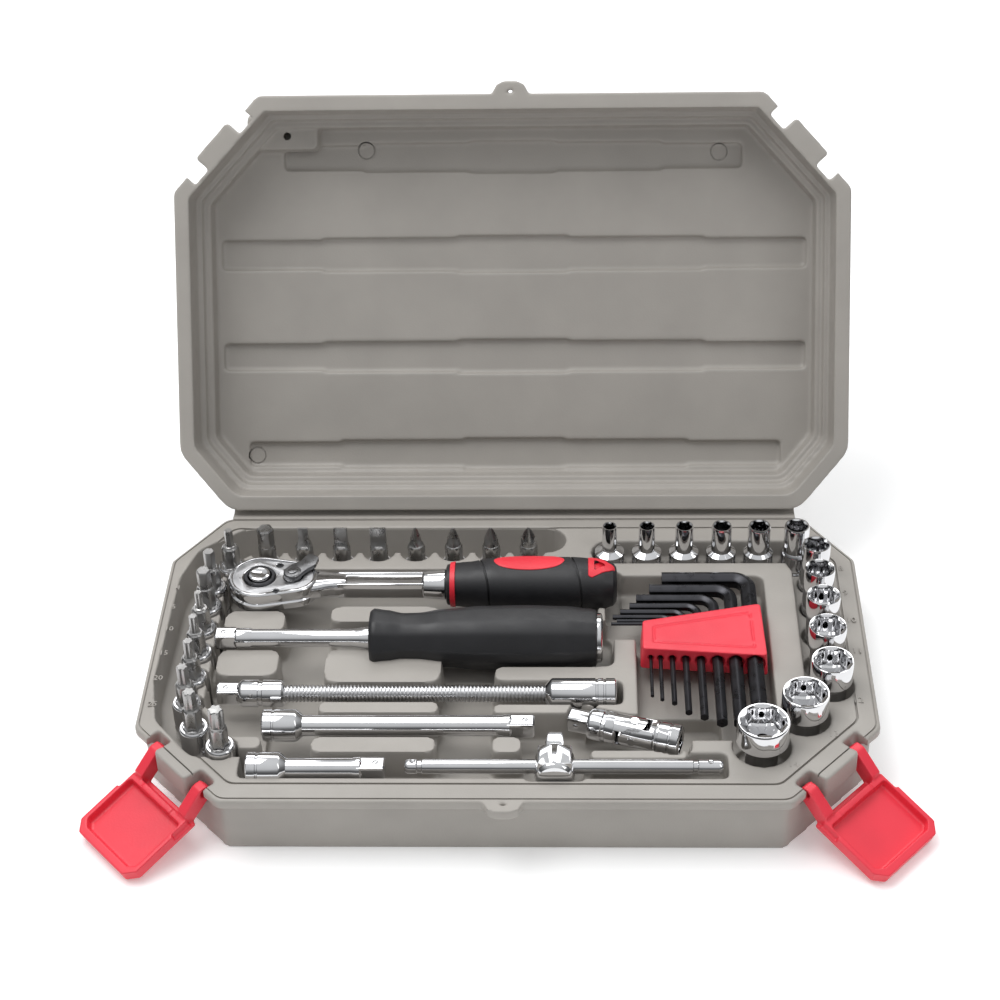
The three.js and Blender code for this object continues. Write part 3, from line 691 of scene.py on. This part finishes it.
# ---------- latches ----------
def build_latch(sign):
    half, start, reach = 18.0, 11.4, 40.5

    def slab(x0, x1, out0, out1, up0, up1):
        return block(x0, x1, -out1, -out0, up0, up1)

    def clipped(side, low, high, corner_x, corner_y, radius):
        """A rectangle whose two upper corners are cut off."""
        points = [(-side, low), (side, low), (side, high - corner_y), (side - corner_x, high)]
        points += [(-side + corner_x, high), (-side, high - corner_y)]
        return rounded(points, radius)

    outline = clipped(half, start - 2, reach, 4, 4, 1.4)
    shell = temporary(turned(prism(outline, 2.8, 7.4), 90, "X"))
    inner = clipped(half - 2.4, start + 2.8, reach - 3.6, 2.8, 2.0, 1.2)
    cut(shell, turned(tapered(inset(inner, -0.5), inner, 2, 6.0), 90, "X"))
    cut(shell, slab(-half - 1, half + 1, 1, 5.9, start - 3, start))
    for x0, x1 in ((-half - 1, -half + 1.1), (half - 1.1, half + 1)):
        cut(shell, slab(x0, x1, 1, 5.2, start - 3, start + 7.5))
    for way in (-1, 1):
        middle = way * 13.8
        arm = [(-2.9, -1.6), (-0.6, -3), (2.2, -2), (2.9, 1), (-1.4, start - 0.4), (-6, start + 1)]
        arm += [(-7.2, start + 1), (-7.2, start - 2)]
        plate = turned(turned(prism(rounded(arm, 0.8, 2), -2.3, 2.3), 90, "X"), 90, "Z")
        fused(shell, shifted(plate, middle))
        cut(shell, shifted(turned(lathe([(1.8, -4), (1.8, 4)], 20), 90, "Y"), middle))
    fused(shell, slab(-9, 9, 2.2, 6.2, start, start + 2.4))
    moulded(shell, 0.36, 3)
    matrix = (
        Matrix.Translation((sign * CHAMFER_MIDDLE[0], CHAMFER_MIDDLE[1], RIM - 5.6))
        @ Matrix.Rotation(sign * CHAMFER_TURN, 4, "Z")
        @ Matrix.Translation((0, 2, 0))
        @ Matrix.Rotation(math.radians(110.5), 4, "X")
    )
    shell.data.transform(matrix)
    return shell


for side, sign in (("left", -1), ("right", 1)):
    node = f"latch_{side}"
    finished(f"latch_cap_{side}", build_latch(sign), RED, node, [node], sharp=60, slot="red_plastic")


# ---------- sockets ----------
SQUARE = 6.35
DRIVE = SQUARE + 0.3
PROUD = RIM + 12.5
SOCKET_LENGTH = 25.0


def build_socket(size):
    outer = SOCKET_OUTER[size] / 2
    wide = outer > 6
    length = SOCKET_LENGTH
    step = 13.5 if wide else 12.1
    neck = step + (2.4 if wide else 1.2)
    mouth = lobed(size)
    wall = size * LOBE
    lip = max(outer - wall, 0.35)
    top = [
        (outer, neck),
        (outer, length - 0.9),
        (outer - 0.18, length - 0.4),
        (outer - lip * 0.35, length),
        (wall + lip * 0.2, length),
    ]
    lower = [(5.2, 0), (5.7, 0.2), (6, 0.8), (6, 4.2), (5.75, 4.5), (5.75, 5.1), (6, 5.4)]
    lower += [(6, step - 0.5), (5.9, step)]
    floor = neck + 0.4 if wide else 12.3
    bore = min(2.5, size * 0.34)
    drive = flats(4, DRIVE)
    inside = [
        (lambda a: mouth(a) + lip * 0.1, length - 0.5), (mouth, length - 1.4), (mouth, floor + 0.6),
        (lambda a: mouth(a) * 0.86, floor), (bore, floor), (bore, 8.6), (drive, 8.5), (drive, 0.6),
        (lambda a: min(drive(a) + 0.5, 5.0), 0),
    ]  # fmt: skip
    return lathe(lower + top + inside, 72, closed=True)


for size, spot in socket_places.items():
    shape = shifted(build_socket(size), spot.x, spot.y, PROUD - SOCKET_LENGTH)
    bright(f"chrome_socket_{dotted(size)}", shape, socket_node(size), socket_node(size))


# ---------- bit sockets ----------
BIT_LOW = RIM - 15.5
SHOULDER = BIT_TIP - 8.0


def blade(width):
    """A flat blade, ground on both faces."""
    low = SHOULDER
    rings = []
    for z, half, thick in (
        (low - 1, 3.0, 3.0), (low + 0.6, max(width / 2, 2.6), 1.9), (low + 3, width / 2, 0.95),
        (BIT_TIP - 0.3, width / 2, 0.55), (BIT_TIP, width / 2 - 0.2, 0.45),
    ):  # fmt: skip
        outline = rounded(rect(-half, half, -thick, thick), min(half, thick) * 0.35, 2)
        rings.append(level(outline, z))
    return loft(rings)


def cross(reach):
    """A pointed cross with four flutes."""
    low = SHOULDER
    rings = []
    for z, r, depth in (
        (low - 0.5, 3.0, 0.0), (low + 1.6, reach, 0.15), (low + 3.2, reach * 0.96, 0.55),
        (BIT_TIP - 1.6, reach * 0.5, 0.6), (BIT_TIP - 0.2, 0.6, 0.3), (BIT_TIP, 0.4, 0.2),
    ):  # fmt: skip
        rings.append(ring(lambda a, r=r, d=depth: r * (1 - d * abs(math.sin(2 * a)) ** 0.8), z, 48))
    return loft(rings)


def straight_tip(radius, reach, count):
    """A tip of one section, with a ground end, on a shoulder that narrows to its reach."""
    low = SHOULDER
    levels = ((low - 0.4, 1), (BIT_TIP - 0.5, 1), (BIT_TIP, 0.86))
    rings = [ring(lambda a, g=grow: radius(a) * g, z, count) for z, grow in levels]
    shoulder = lathe([(3.1, low - 1), (3.1, low - 0.6), (reach, low + 0.5), (0.4, low + 0.6)], 24)
    return joined([loft(rings), shoulder])


def star(reach):
    return straight_tip(lambda a: reach * (0.88 + 0.12 * math.cos(6 * a)), reach, 72)


def hexagon_tip(width):
    return straight_tip(flats(6, width, math.pi / 6, 0.02), width / 2, 48)


def tip_of(name):
    kind, first, *rest = name.split("_")
    size = float(".".join([first, *rest]))
    if kind == "slot":
        return blade(size)
    if kind == "cross":
        return cross(1.9 + 0.3 * size)
    if kind == "star":
        return star(1.1 + size * 0.045)
    return hexagon_tip(size)


def build_collar():
    """The round drive end: a turned sleeve with a dished top and a square hole below."""
    drive = flats(4, DRIVE)
    outside = [(5.0, 0), (5.4, 0.3), (5.6, 0.9), (5.6, 5), (5.3, 5.4), (5.3, 6.2), (5.6, 6.6), (5.6, 15.9)]
    top = [(5.35, 16.6), (4.9, 17), (4.2, 17), (3.9, 16.4), (3.4, 16.2)]
    inside = [(1.5, 16.2), (1.5, 8.6), (drive, 8.5), (drive, 0.5)]
    return shifted(lathe(outside + top + inside, closed=True), z=BIT_LOW)


def build_shank():
    across = flats(6, SQUARE, math.pi / 6, 0.03)
    end = [(lambda a: min(across(a), 3.2), SHOULDER - 0.4), (2.6, SHOULDER + 0.2)]
    return lathe([(across, BIT_LOW + 10), (across, SHOULDER - 1.2), *end])


for name, spot in bit_places.items():
    node = f"bit_{name}"
    seat = -bit_drop(name)
    collar = shifted(build_collar(), spot.x, spot.y, seat)
    finished(f"bit_sleeve_{name}", collar, CHROME, node, [node], slot="bit_steel")
    steel = shifted(joined([build_shank(), tip_of(name)]), spot.x, spot.y, seat)
    finished(f"bit_tip_{name}", steel, STEEL, node, slot="bit_steel")


# ---------- hex keys and holder ----------
KEYS = [6, 5, 4, 3, 2.5, 2, 1.5, 1.27]
KEY_Z = RIM + 2.2


def key_node(size):
    return f"hex_key_{dotted(size)}mm"


def sweep(path, section):
    """A section, in its own (across, up) axes, along a flat path of (x, y) at one height."""
    rings = []
    for i, p in enumerate(path):
        before, after = Vector(path[max(i - 1, 0)]), Vector(path[min(i + 1, len(path) - 1)])
        along = (after - before).normalized()
        across = Vector((along.y, -along.x))
        rings.append([(p[0] + across.x * u, p[1] + across.y * u, v) for u, v in section])
    return loft(rings)


def build_key(size):
    low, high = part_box(key_node(size))
    x = high.x / MM - size / 2
    end, bend = low.y / MM, high.y / MM - size / math.sqrt(3)
    radius = min(6.0, size + 1.6)
    path = [(x, end), (x, end + 0.01), (x, bend - radius - 8)]
    for k in range(13):
        t = math.pi / 2 * k / 12
        path.append((x - radius + radius * math.cos(t), bend - radius + radius * math.sin(t)))
    tip = low.x / MM
    path += [(tip + 0.01, bend), (tip, bend)]
    across = flats(6, size, 0, 0.05)
    section = [(u, v) for u, v, _ in ring(across, 0, 36)]
    z = (low.z + high.z) / 2 / MM
    return shifted(sweep(path, section), z=z)


for size in KEYS:
    name, node = f"key_{dotted(size)}", key_node(size)
    finished(name, build_key(size), OXIDE, "hex_keys", [node], slot="black_oxide", sharp=20)


def build_holder():
    low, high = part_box("hex_key_holder")
    z0, z1 = low.z / MM, high.z / MM
    plan = [(50.2, -9.6), (98.2, -13.8), (97.4, 18.2), (50.6, 7.6)]
    (left, front0), (right, front1), (_, back1), (_, back0) = plan
    body = temporary(tapered(rounded(plan, 1.6), rounded(inset(plan, 0.7), 1.6), z0, z1))
    cut(body, band(inset(plan, 4.6), inset(plan, 5.4), 1, z1 - 0.5, z1 + 1))
    recess = 1.6
    for size in KEYS:
        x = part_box(key_node(size))[1].x / MM - size / 2
        share = (x - left) / (right - left)
        front = front0 + (front1 - front0) * share
        back = back0 + (back1 - back0) * share
        wide = size / math.sqrt(3) + 0.4
        for y0, y1 in ((front - 9, front + recess), (back - recess, back + 9)):
            hole = turned(lathe([(wide, -y1), (wide, -y0)], 24), 90, "X")
            cut(body, shifted(hole, x, 0, KEY_Z))
    return moulded(body, 0.34, 2)


holder = build_holder()
finished("key_holder", holder, RED, "hex_keys", ["hex_key_holder"], sharp=60, slot="red_plastic")


# ---------- tools that lie along X ----------
def along(shape, y, z=LYING):
    """Lays a shape made about Z along X."""
    return shifted(turned(shape, 90, "Y"), y=y, z=z)


def square_end(tip, root):
    """A quarter-inch square with rounded edges and its detent ball, from its tip to its root."""
    side = flats(4, SQUARE, 0, 0.05)
    way = math.copysign(1, root - tip)
    shape = lathe([(lambda a: side(a) * 0.84, tip), (side, tip + way * 0.6), (side, root)])
    ball = lathe([(0.1, 3.6), (0.7, 3.5), (1.1, 3.2), (1.2, 2.8)], 20)
    return joined([shape, shifted(turned(ball, -90, "Y"), z=tip + way * 3.4)])


def sleeve(low, high, radius=6.0, grooves=(), neck=4.0):
    """A female end whose square hole opens at low."""
    edge = 0.7
    drive = flats(4, DRIVE)
    profile = [(0.4, low + 8.5), (drive, low + 8.5), (drive, low + 0.5)]
    profile.append((lambda a: min(drive(a) + 0.4, radius - 0.8), low))
    profile += [(radius - edge - 0.3, low), (radius - 0.2, low + 0.4), (radius, low + edge)]
    for at in grooves:
        dip = radius - 0.35
        profile += [(radius, at - 0.5), (dip, at - 0.3), (dip, at + 0.3), (radius, at + 0.5)]
    return lathe([*profile, (radius, high - 2.6), (radius - 0.4, high - 1.9), (neck, high), (0.4, high)])


LONG = dict(y=-43.6, low=-89.6, shaft=-75.6, square=1.6, end=10.6)
SHORT = dict(y=-66.2, low=-93, shaft=-79.4, square=-51.8, end=-42.8)
for name, e in (("long", LONG), ("short", SHORT)):
    body = sleeve(e["low"], e["shaft"] + 1, grooves=(e["low"] + 4.2,))
    end = e["square"]
    rod = lathe([(3.9, e["shaft"] - 1), (3.9, end - 3), (4.2, end - 2), (4.2, end), (3.2, end + 0.8)], 40)
    tip = square_end(e["end"], end - 1)
    node = f"extension_{name}"
    bright(f"chrome_{node}", along(joined([body, rod, tip]), e["y"]), node, node)

# ---------- flexible extension ----------
FLEX_Y = -26.0


def coil(low, high, radius, pitch, wire):
    """A close-wound spring."""
    turns = (high - low) / pitch
    steps = int(turns * 20)
    rings = []
    for i in range(steps + 1):
        a = 2 * math.pi * turns * i / steps
        z = low + (high - low) * i / steps
        points = []
        for k in range(6):
            b = 2 * math.pi * k / 6
            r = radius + wire * math.cos(b)
            points.append((r * math.cos(a), r * math.sin(a), z + wire * math.sin(b)))
        rings.append(points)
    return loft(rings)


def on_flex_line(name, shape, node, **options):
    bright(name, along(shape, FLEX_Y), "flexible_extension", node, **options)


ferrule = lathe([
    (3.2, -101), (4.4, -100), (5.0, -99.2), (5.2, -98.6), (5.2, -93), (4.7, -92.6), (4.7, -91.4),
    (5.2, -91), (5.2, -84), (4.6, -83.2), (3.0, -83),
])  # fmt: skip
on_flex_line("flexible_square", joined([square_end(-108.4, -100), ferrule]), "flexible_square_end")
spring = joined([coil(-84, 15.5, 2.75, 1.4, 0.56), lathe([(2.5, -84), (2.5, 15.5)], 24)])
on_flex_line("flexible_spring", spring, "flexible_coil", look=SATIN, sharp=60)
flex_end = sleeve(-41, -14.5, 5.8, (-36.5, -33.6), 3.4)
on_flex_line("flexible_socket", turned(flex_end, 180, "X"), "flexible_socket_end")

# ---------- shapes with changing sections along X ----------
def spine(stations, section, count):
    """Rings about X. A station is (x, width, height) and the section gives a unit point for an angle."""
    rings = []
    for x, wide, tall in stations:
        points = []
        for i in range(count):
            u, v = section(2 * math.pi * i / count)
            points.append((x, u * wide, v * tall))
        rings.append(points)
    return loft(rings)


def squircle(power):
    """A unit section from a circle, at 2, towards a square."""

    def section(angle):
        return [math.copysign(abs(v) ** (2 / power), v) for v in (math.cos(angle), math.sin(angle))]

    return section


def smooth_stations(keys, step=1.5):
    """Stations between key ones, on a smooth curve through them."""
    out = []
    for (x0, *a), (x1, *b) in zip(keys, keys[1:], strict=False):
        count = max(1, round((x1 - x0) / step))
        for k in range(count):
            t = k / count
            ease = t * t * (3 - 2 * t)
            out.append((x0 + (x1 - x0) * t, *(p + (q - p) * ease for p, q in zip(a, b, strict=True))))
    return out + [keys[-1]]


def between(stations, x):
    """The width and the height of a spine at x."""
    for (x0, *a), (x1, *b) in zip(stations, stations[1:], strict=False):
        if x0 <= x <= x1:
            t = (x - x0) / (x1 - x0)
            return [p + (q - p) * t for p, q in zip(a, b, strict=True)]
    return list(stations[-1][1:])


def patch(stations, section, middle, angle, reach, outline, hole=0.0):
    """An inlay on a spine: a raised skin inside an outline, a share of the reach for each angle."""
    rings = []
    lift = 0.35
    levels = [(1.0, -0.5), (1.0, lift * 0.5), (0.96, lift), (0.8, lift), (0.6, lift), (0.4, lift)]
    levels += [(hole, lift), (hole, -0.6)] if hole else [(0.2, lift), (0.02, lift)]
    for share, high in levels:
        points = []
        for i in range(48):
            t = 2 * math.pi * i / 48
            r = outline(t) * share
            x = middle + reach[0] * r * math.cos(t)
            wide, tall = between(stations, x)
            u, v = section(angle + reach[1] * r * math.sin(t) / max(wide, tall))
            points.append((x, u * (wide + high), v * (tall + high)))
        rings.append(points)
    return loft(rings)


# ---------- ratchet ----------
HEAD = Vector((-98.6, 34, 30.0))
PIVOT = 13.2
SCREW_X = 7.3
SCREWS = (-9.2, 6.9)


def teardrop(reach):
    """The head's outline, moved out by a reach: a line round its circle and the lever's smaller one."""
    head_radius, lever_radius, steps = 12.3, 9.6, 24
    meet = math.acos((head_radius - lever_radius) / PIVOT)
    head_arc, lever_arc = (meet, 2 * math.pi - 2 * meet), (-meet, 2 * meet)
    points = []
    for middle, radius, (start, span) in ((0, head_radius, head_arc), (PIVOT, lever_radius, lever_arc)):
        for k in range(steps + 1):
            t = start + span * k / steps
            points.append((middle + (radius + reach) * math.cos(t), (radius + reach) * math.sin(t)))
    return points


def at_head(shape):
    return shifted(shape, *HEAD)


def build_ratchet_body():
    layers = [(-0.9, -4.6), (-0.1, -3.9), (-0.1, -1.2), (-1.0, -0.7), (-1.0, 0.4), (0, 0.9), (0, 4.0)]
    layers.append((-0.6, 4.6))
    head = temporary(loft([level(teardrop(reach), z) for reach, z in layers]))
    cut(head, prism(teardrop(-1.5), 4.1, 6), lathe([(6.5, -6), (6.5, 6)]))
    cut(head, shifted(lathe([(3.9, 3.6), (3.9, 6)], 40), PIVOT))
    for y in SCREWS:
        cut(head, shifted(lathe([(1.5, 3.2), (1.5, 6)], 24), SCREW_X, y))
    neck_stations = smooth_stations([(17, 7.6, 3.6), (22, 6.0, 3.9), (29, 4.5, 3.9), (34, 4.2, 3.6)])
    neck = spine(neck_stations, squircle(3.4), 64)
    ridge = [(-4.2, -3.5), (-3.0, -3.5), (-2.4, -2.7), (2.4, -2.7), (3.0, -3.5), (4.2, -3.5)]
    profile = ridge + [(-y, -z) for y, z in ridge]
    shaft = loft([[(x, y, z) for y, z in rounded(profile, 0.35, 2)] for x in (31, 66)])
    collar = spine([(64, 4.6, 4.4), (65, 5.6, 5.4), (73, 6.2, 6.0), (74.2, 5.4, 5.2)], squircle(2), 48)
    return at_head(joined([shape_of(head), neck, shaft, collar]))


bright("ratchet_head", build_ratchet_body(), "ratchet", "ratchet_body", bevel=0.22)


def build_head_plate():
    plate = temporary(prism(teardrop(-1.7), 3.9, 4.3))
    cut(plate, lathe([(6.9, 3), (6.9, 6)]), shifted(lathe([(4.1, 3), (4.1, 6)], 40), PIVOT))
    for y in SCREWS:
        cut(plate, shifted(lathe([(1.7, 3), (1.7, 6)], 24), SCREW_X, y))
    return at_head(shape_of(plate))


bright("ratchet_plate", build_head_plate(), "ratchet", look=PLATE, bevel=0.1)
screws = []
for y in SCREWS:
    screw = temporary(lathe([(0.3, 3.3), (1.45, 3.3), (1.45, 4.0), (1.2, 4.2), (0.3, 4.2)], 24))
    cut(screw, turned(lathe([(0.001, 3.9), (0.8, 3.9), (0.8, 5)], 6), 20, "Z"))
    screws.append(at_head(shifted(shape_of(screw), SCREW_X, y)))
bright("ratchet_screws", joined(screws), "ratchet", look=DARK)

anvil_ring = lathe([
    (4.75, -4.4), (6.2, -4.4), (6.4, -4.0), (6.4, 4.3), (6.0, 4.75), (4.9, 4.75), (4.75, 4.4),
], closed=True)  # fmt: skip
anvil_floor = lathe(rect(0.1, 4.9, 0.1, 0.5), closed=True)
anvil = at_head(joined([anvil_ring, anvil_floor]))
bright("ratchet_anvil_ring", anvil, "ratchet_anvil", "ratchet_anvil", look=DARK)
anvil_base = lathe([(0.1, -4.5), (6.2, -4.5), (6.2, -3.9), (0.1, -3.9)])
bright("ratchet_square", at_head(joined([square_end(-12.2, -4.0), anvil_base])), "ratchet_anvil")
button = lathe([
    (0.1, 2.3), (4.2, 2.3), (4.3, 2.6), (4.3, 5.2), (4.0, 5.7), (3.2, 5.95), (2.4, 5.7), (1.2, 5.55),
    (0.1, 5.5),
])  # fmt: skip
bright("ratchet_button", at_head(button), "ratchet_release_button", "ratchet_release_button")


def build_lever():
    hub = lathe([(0.1, -0.7), (3.5, -0.7), (3.6, -0.4), (3.6, 1.9), (3.2, 2.4), (0.1, 2.4)], 40)
    outline = [(-3.6, 0), (-1.6, -3.6), (4, -3.5), (8.6, -4.4), (12.8, -2.6), (13, 0.2), (12.2, 2.6)]
    outline += [(7.4, 1.8), (3, 3.3), (-1.6, 3.6)]
    wing = prism(rounded(outline, 0.9, 3), 0.35, 2.2)
    cap = lathe([(0.1, 2.2), (1.9, 2.2), (1.9, 2.6), (1.6, 2.85), (0.1, 2.85)], 32)
    lever = joined([hub, wing, cap])
    return at_head(shifted(turned(lever, 54, "Z"), PIVOT, 0, 4.6))


lever = "ratchet_reversing_lever"
bright("ratchet_lever", build_lever(), lever, lever, look=LEVER, bevel=0.25)

GRIP_STATIONS = smooth_stations([
    (-25.0, 6.8, 6.8), (-24.6, 7.6, 7.6), (-21.6, 8.2, 8.2), (-17, 8.6, 8.6), (-6, 10.1, 10.2), (8, 10.4, 10.4),
    (24, 10.4, 10.4), (36, 9.6, 9.6), (40.4, 8.2, 8.2), (41.7, 6.6, 6.6), (42, 4.8, 4.8),
])  # fmt: skip
GRIP_SECTION = squircle(2.25)


def on_ratchet(shape):
    return shifted(shape, 0, HEAD.y, HEAD.z)


def build_ratchet_grip():
    grip = temporary(spine(GRIP_STATIONS, GRIP_SECTION, 64))
    cut(grip, shifted(lathe([(2.9, -20), (2.9, 20)], 32), 35.4))
    for x in (-10.5, 25.5):
        wide, _ = between(GRIP_STATIONS, x)
        slot = lathe(rect(wide - 0.5, wide + 2, -0.4, 0.4), 64, True)
        cut(grip, shifted(turned(turned(slot, 90, "Y"), 14, "Z"), x))
    return on_ratchet(shape_of(grip))


rubber = build_ratchet_grip()
finished("grip_sleeve", rubber, GRIP, "ratchet", ["ratchet_grip"], slot="black_grip", bevel=0.25)
ring_stations = [(-23.6, 7.4, 7.4), (-23.4, 8.4, 8.4), (-21.5, 8.75, 8.75), (-21.3, 7.8, 7.8)]
red_ring = spine(ring_stations, GRIP_SECTION, 64)
oval = patch(GRIP_STATIONS, GRIP_SECTION, 7.6, math.radians(79), (13.8, 5.0), lambda t: 1.0)
triangle = flats(3, 1.06, math.pi, 0.16)
hanger = patch(GRIP_STATIONS, GRIP_SECTION, 34.6, math.radians(90), (7.4, 7.4), triangle, hole=0.62)
inlays = on_ratchet(joined([red_ring, oval, hanger]))
finished("grip_inlays", inlays, GRIP_RED, "ratchet", slot="black_grip")

# ---------- spinner handle ----------
SPINNER_Y = 2
SPINNER_Z = RIM + 2.2
SPINNER_STATIONS = smooth_stations([(x, radius, radius) for x, radius in (
    (-53.0, 8.2), (-52.6, 10.4), (-51.2, 11.4), (-47, 10.8), (-40, 9.6), (-35, 9.7), (-24, 11.2), (-10, 12.3),
    (6, 12.6), (22, 12.2), (31.5, 11.2), (33.4, 10.8), (34.0, 9.6),
)])  # fmt: skip


def faceted(angle):
    """A unit section with six soft flats, one edge a little forward of the top."""
    r = min(flats(6, 1.9, math.radians(90))(angle) * 0.8 + 0.2, 0.995)
    return r * math.cos(angle), r * math.sin(angle)


handle = shifted(spine(SPINNER_STATIONS, faceted, 96), 0, SPINNER_Y, SPINNER_Z)
finished("spinner_sleeve", handle, GRIP, "spinner", ["spinner_grip"], slot="black_grip", sharp=50)
rod = lathe([
    (3.2, -105), (3.9, -104), (3.9, -99), (3.5, -98), (3.5, -60), (3.9, -57), (4.4, -53.4), (4.4, -52),
])  # fmt: skip
shaft = joined([square_end(-112.4, -104.5), rod])
bright("spinner_rod", along(shaft, SPINNER_Y, SPINNER_Z), "spinner", "spinner_shaft")
butt = sleeve(-36, -27, 9.5, (), 5.0)
bright("spinner_butt", along(turned(butt, 180, "X"), SPINNER_Y, SPINNER_Z), "spinner")

# ---------- sliding T-bar ----------
TEE_Y = -65
bar = lathe([
    (0.3, -35.8), (2.0, -35.7), (2.6, -34.9), (2.7, -34.2), (2.7, -31.6), (2.3, -31.2), (2.3, -29.8),
    (2.7, -29.4), (2.7, 67.6), (2.3, 68.0), (2.3, 69.4), (2.7, 69.8), (2.7, 77.0), (2.6, 77.7), (2.0, 78.5),
    (0.3, 78.6),
])  # fmt: skip
ball = lathe([(0.1, 3.3), (0.6, 3.2), (1.0, 2.8), (1.1, 2.3)], 20)
balls = [shifted(ball, x) for x in (-33, 74)]
bar = joined([turned(bar, 90, "Y"), *balls])
bright("tee_bar", shifted(bar, 0, TEE_Y, LYING), "t_bar", "t_bar")


def build_tee_head():
    profile = [(4.6, -7.5), (6.2, -7.1), (7.0, -6.2), (7.2, -5.2), (7.2, 3.6), (6.6, 4.8), (5.0, 6.8)]
    profile.append((4.4, 7.5))
    head = temporary(lathe(profile, 64))
    fused(head, block(-6.2, 6.2, -7.1, 7.1, -5.4, 3.8, 0, 1.2))
    cut(head, turned(lathe([(2.8, -20), (2.8, 20)]), 90, "Y"))
    return joined([shape_of(head), square_end(15.5, 7)])


tee_head = shifted(turned(build_tee_head(), -90, "X"), 18.2, TEE_Y, LYING)
bright("tee_head", tee_head, "t_bar_head", "t_bar_head", bevel=0.25)

# ---------- universal joint ----------
def at_joint(shape):
    return shifted(turned(shape, JOINT_TURN, "Z"), *JOINT)


def build_yoke(body):
    """A yoke along Z whose ears hold the pin along Y, with its body below."""
    ears = temporary(lathe([(5.75, -7.6), (5.75, 4.7)], 64))
    outline = [(4.7 * math.cos(t), 4.7 * math.sin(t)) for t in (math.pi * k / 16 for k in range(17))]
    outline = [(4.7, -7.6), *outline, (-4.7, -7.6)]
    keep = turned(prism(outline, -8, 8), 90, "X")
    boolean(ears, keep, "INTERSECT")
    cut(ears, block(-10, 10, -3.15, 3.15, -6.2, 10))
    pin = lathe([(0.3, 5.2), (1.9, 5.2), (1.9, 5.55), (1.6, 5.8), (0.3, 5.8)], 32)
    return joined([shape_of(ears), body, turned(pin, 90, "X"), turned(pin, -90, "X")])


socket_body = sleeve(-17.5, -6.3, 5.9, (-13.6, -9.0), 5.0)
socket_yoke = at_joint(turned(build_yoke(socket_body), -90, "Y"))
bright("joint_socket", socket_yoke, "universal_socket_yoke", "universal_socket_yoke", bevel=0.2)
drive_body = lathe([
    (3.2, -17.6), (4.9, -17.2), (5.5, -16.6), (5.8, -15.8), (5.8, -12), (5.4, -11.6), (5.4, -10.6),
    (5.8, -10.2), (5.8, -7), (5.2, -6.3),
])  # fmt: skip
drive_yoke = build_yoke(joined([drive_body, square_end(-25, -16.6)]))
drive_yoke = at_joint(turned(turned(drive_yoke, 90, "Z"), 90, "Y"))
bright("joint_drive", drive_yoke, "universal_drive_yoke", "universal_drive_yoke", bevel=0.2)
cube = block(-2.8, 2.8, -2.8, 2.8, -2.8, 2.8)
pin = lathe([(1.4, -5), (1.4, 5)], 24)
cross_shape = at_joint(joined([cube, pin, turned(pin, 90, "X")]))
bright("joint_cross", cross_shape, "universal_cross", "universal_cross", look=STEEL, bevel=0.3)

# ---------- camera and light ----------
LENS = 80.64
EYE = Vector((26.66, -647.8, 589.04)) * MM
PITCH, YAW, ROLL = math.radians(37.165), math.radians(2.493), math.radians(-1.653)


def build_camera():
    turn = Matrix.Rotation(YAW, 3, "Z")
    forward = turn @ Vector((0, math.cos(PITCH), -math.sin(PITCH)))
    up = turn @ Vector((0, math.sin(PITCH), math.cos(PITCH)))
    right = turn @ Vector((1, 0, 0))
    level = right * math.cos(ROLL) + up * math.sin(ROLL)
    upright = up * math.cos(ROLL) - right * math.sin(ROLL)
    data = bpy.data.cameras.new("camera")
    data.lens, data.sensor_width, data.clip_end = LENS, 36, 50
    camera = linked("camera", data)
    matrix = Matrix((level, upright, -forward)).transposed().to_4x4()
    matrix.translation = EYE
    camera.matrix_world = matrix
    bpy.context.scene.camera = camera


def area_light(name, spot, target, size, power):
    data = bpy.data.lights.new(name, "AREA")
    data.shape, data.size, data.size_y, data.energy = "RECTANGLE", size[0], size[1], power
    lamp = linked(name, data)
    lamp.location = spot
    lamp.rotation_euler = (Vector(target) - Vector(spot)).to_track_quat("-Z", "Y").to_euler()


def build_stage():
    scene = bpy.context.scene
    scene.view_settings.view_transform = "Standard"
    world = bpy.data.worlds.new("studio")
    world.use_nodes = True
    tree = world.node_tree
    spot = tree.nodes.new("ShaderNodeTexCoord")
    split = tree.nodes.new("ShaderNodeSeparateXYZ")
    ramp = tree.nodes.new("ShaderNodeValToRGB")
    steps = ((0.0, 0.16), (0.12, 0.08), (0.35, 0.2), (0.62, 0.68), (1.0, 0.85))
    ramp.color_ramp.elements[0].position, ramp.color_ramp.elements[1].position = 0.0, 1.0
    for at, _ in steps[1:-1]:
        ramp.color_ramp.elements.new(at)
    for element, (_, level) in zip(ramp.color_ramp.elements, steps, strict=True):
        element.color = (level * 0.97, level * 0.985, level, 1)
    tree.links.new(spot.outputs["Generated"], split.inputs["Vector"])
    tree.links.new(split.outputs["Z"], ramp.inputs["Fac"])
    tree.links.new(ramp.outputs["Color"], tree.nodes["Background"].inputs["Color"])
    tree.nodes["Background"].inputs["Strength"].default_value = 1.0
    scene.world = world
    floor = temporary(([(-4, -4, 0), (4, -4, 0), (4, 6, 0), (-4, 6, 0)], [(0, 1, 2, 3)]))
    floor.name = "floor"
    look = Look("floor", (0.93, 0.93, 0.93), 0.85)
    look.roughness(look.spread(look.noise(5), 0.8, 0.9))
    look.shader.inputs["Emission Color"].default_value = (1, 1, 1, 1)
    look.shader.inputs["Emission Strength"].default_value = 0.2
    floor.data.materials.append(look.material)
    area_light("key", (-0.45, 0.1, 1.15), (0, 0, 0), (0.8, 0.8), 8.6)
    area_light("fill", (0.75, -0.45, 0.85), (0, 0, 0), (0.35, 0.9), 1.3)
    area_light("rear", (0.2, 0.85, 1.0), (0, 0, 0), (1.2, 0.35), 4)


build_camera()
build_stage()
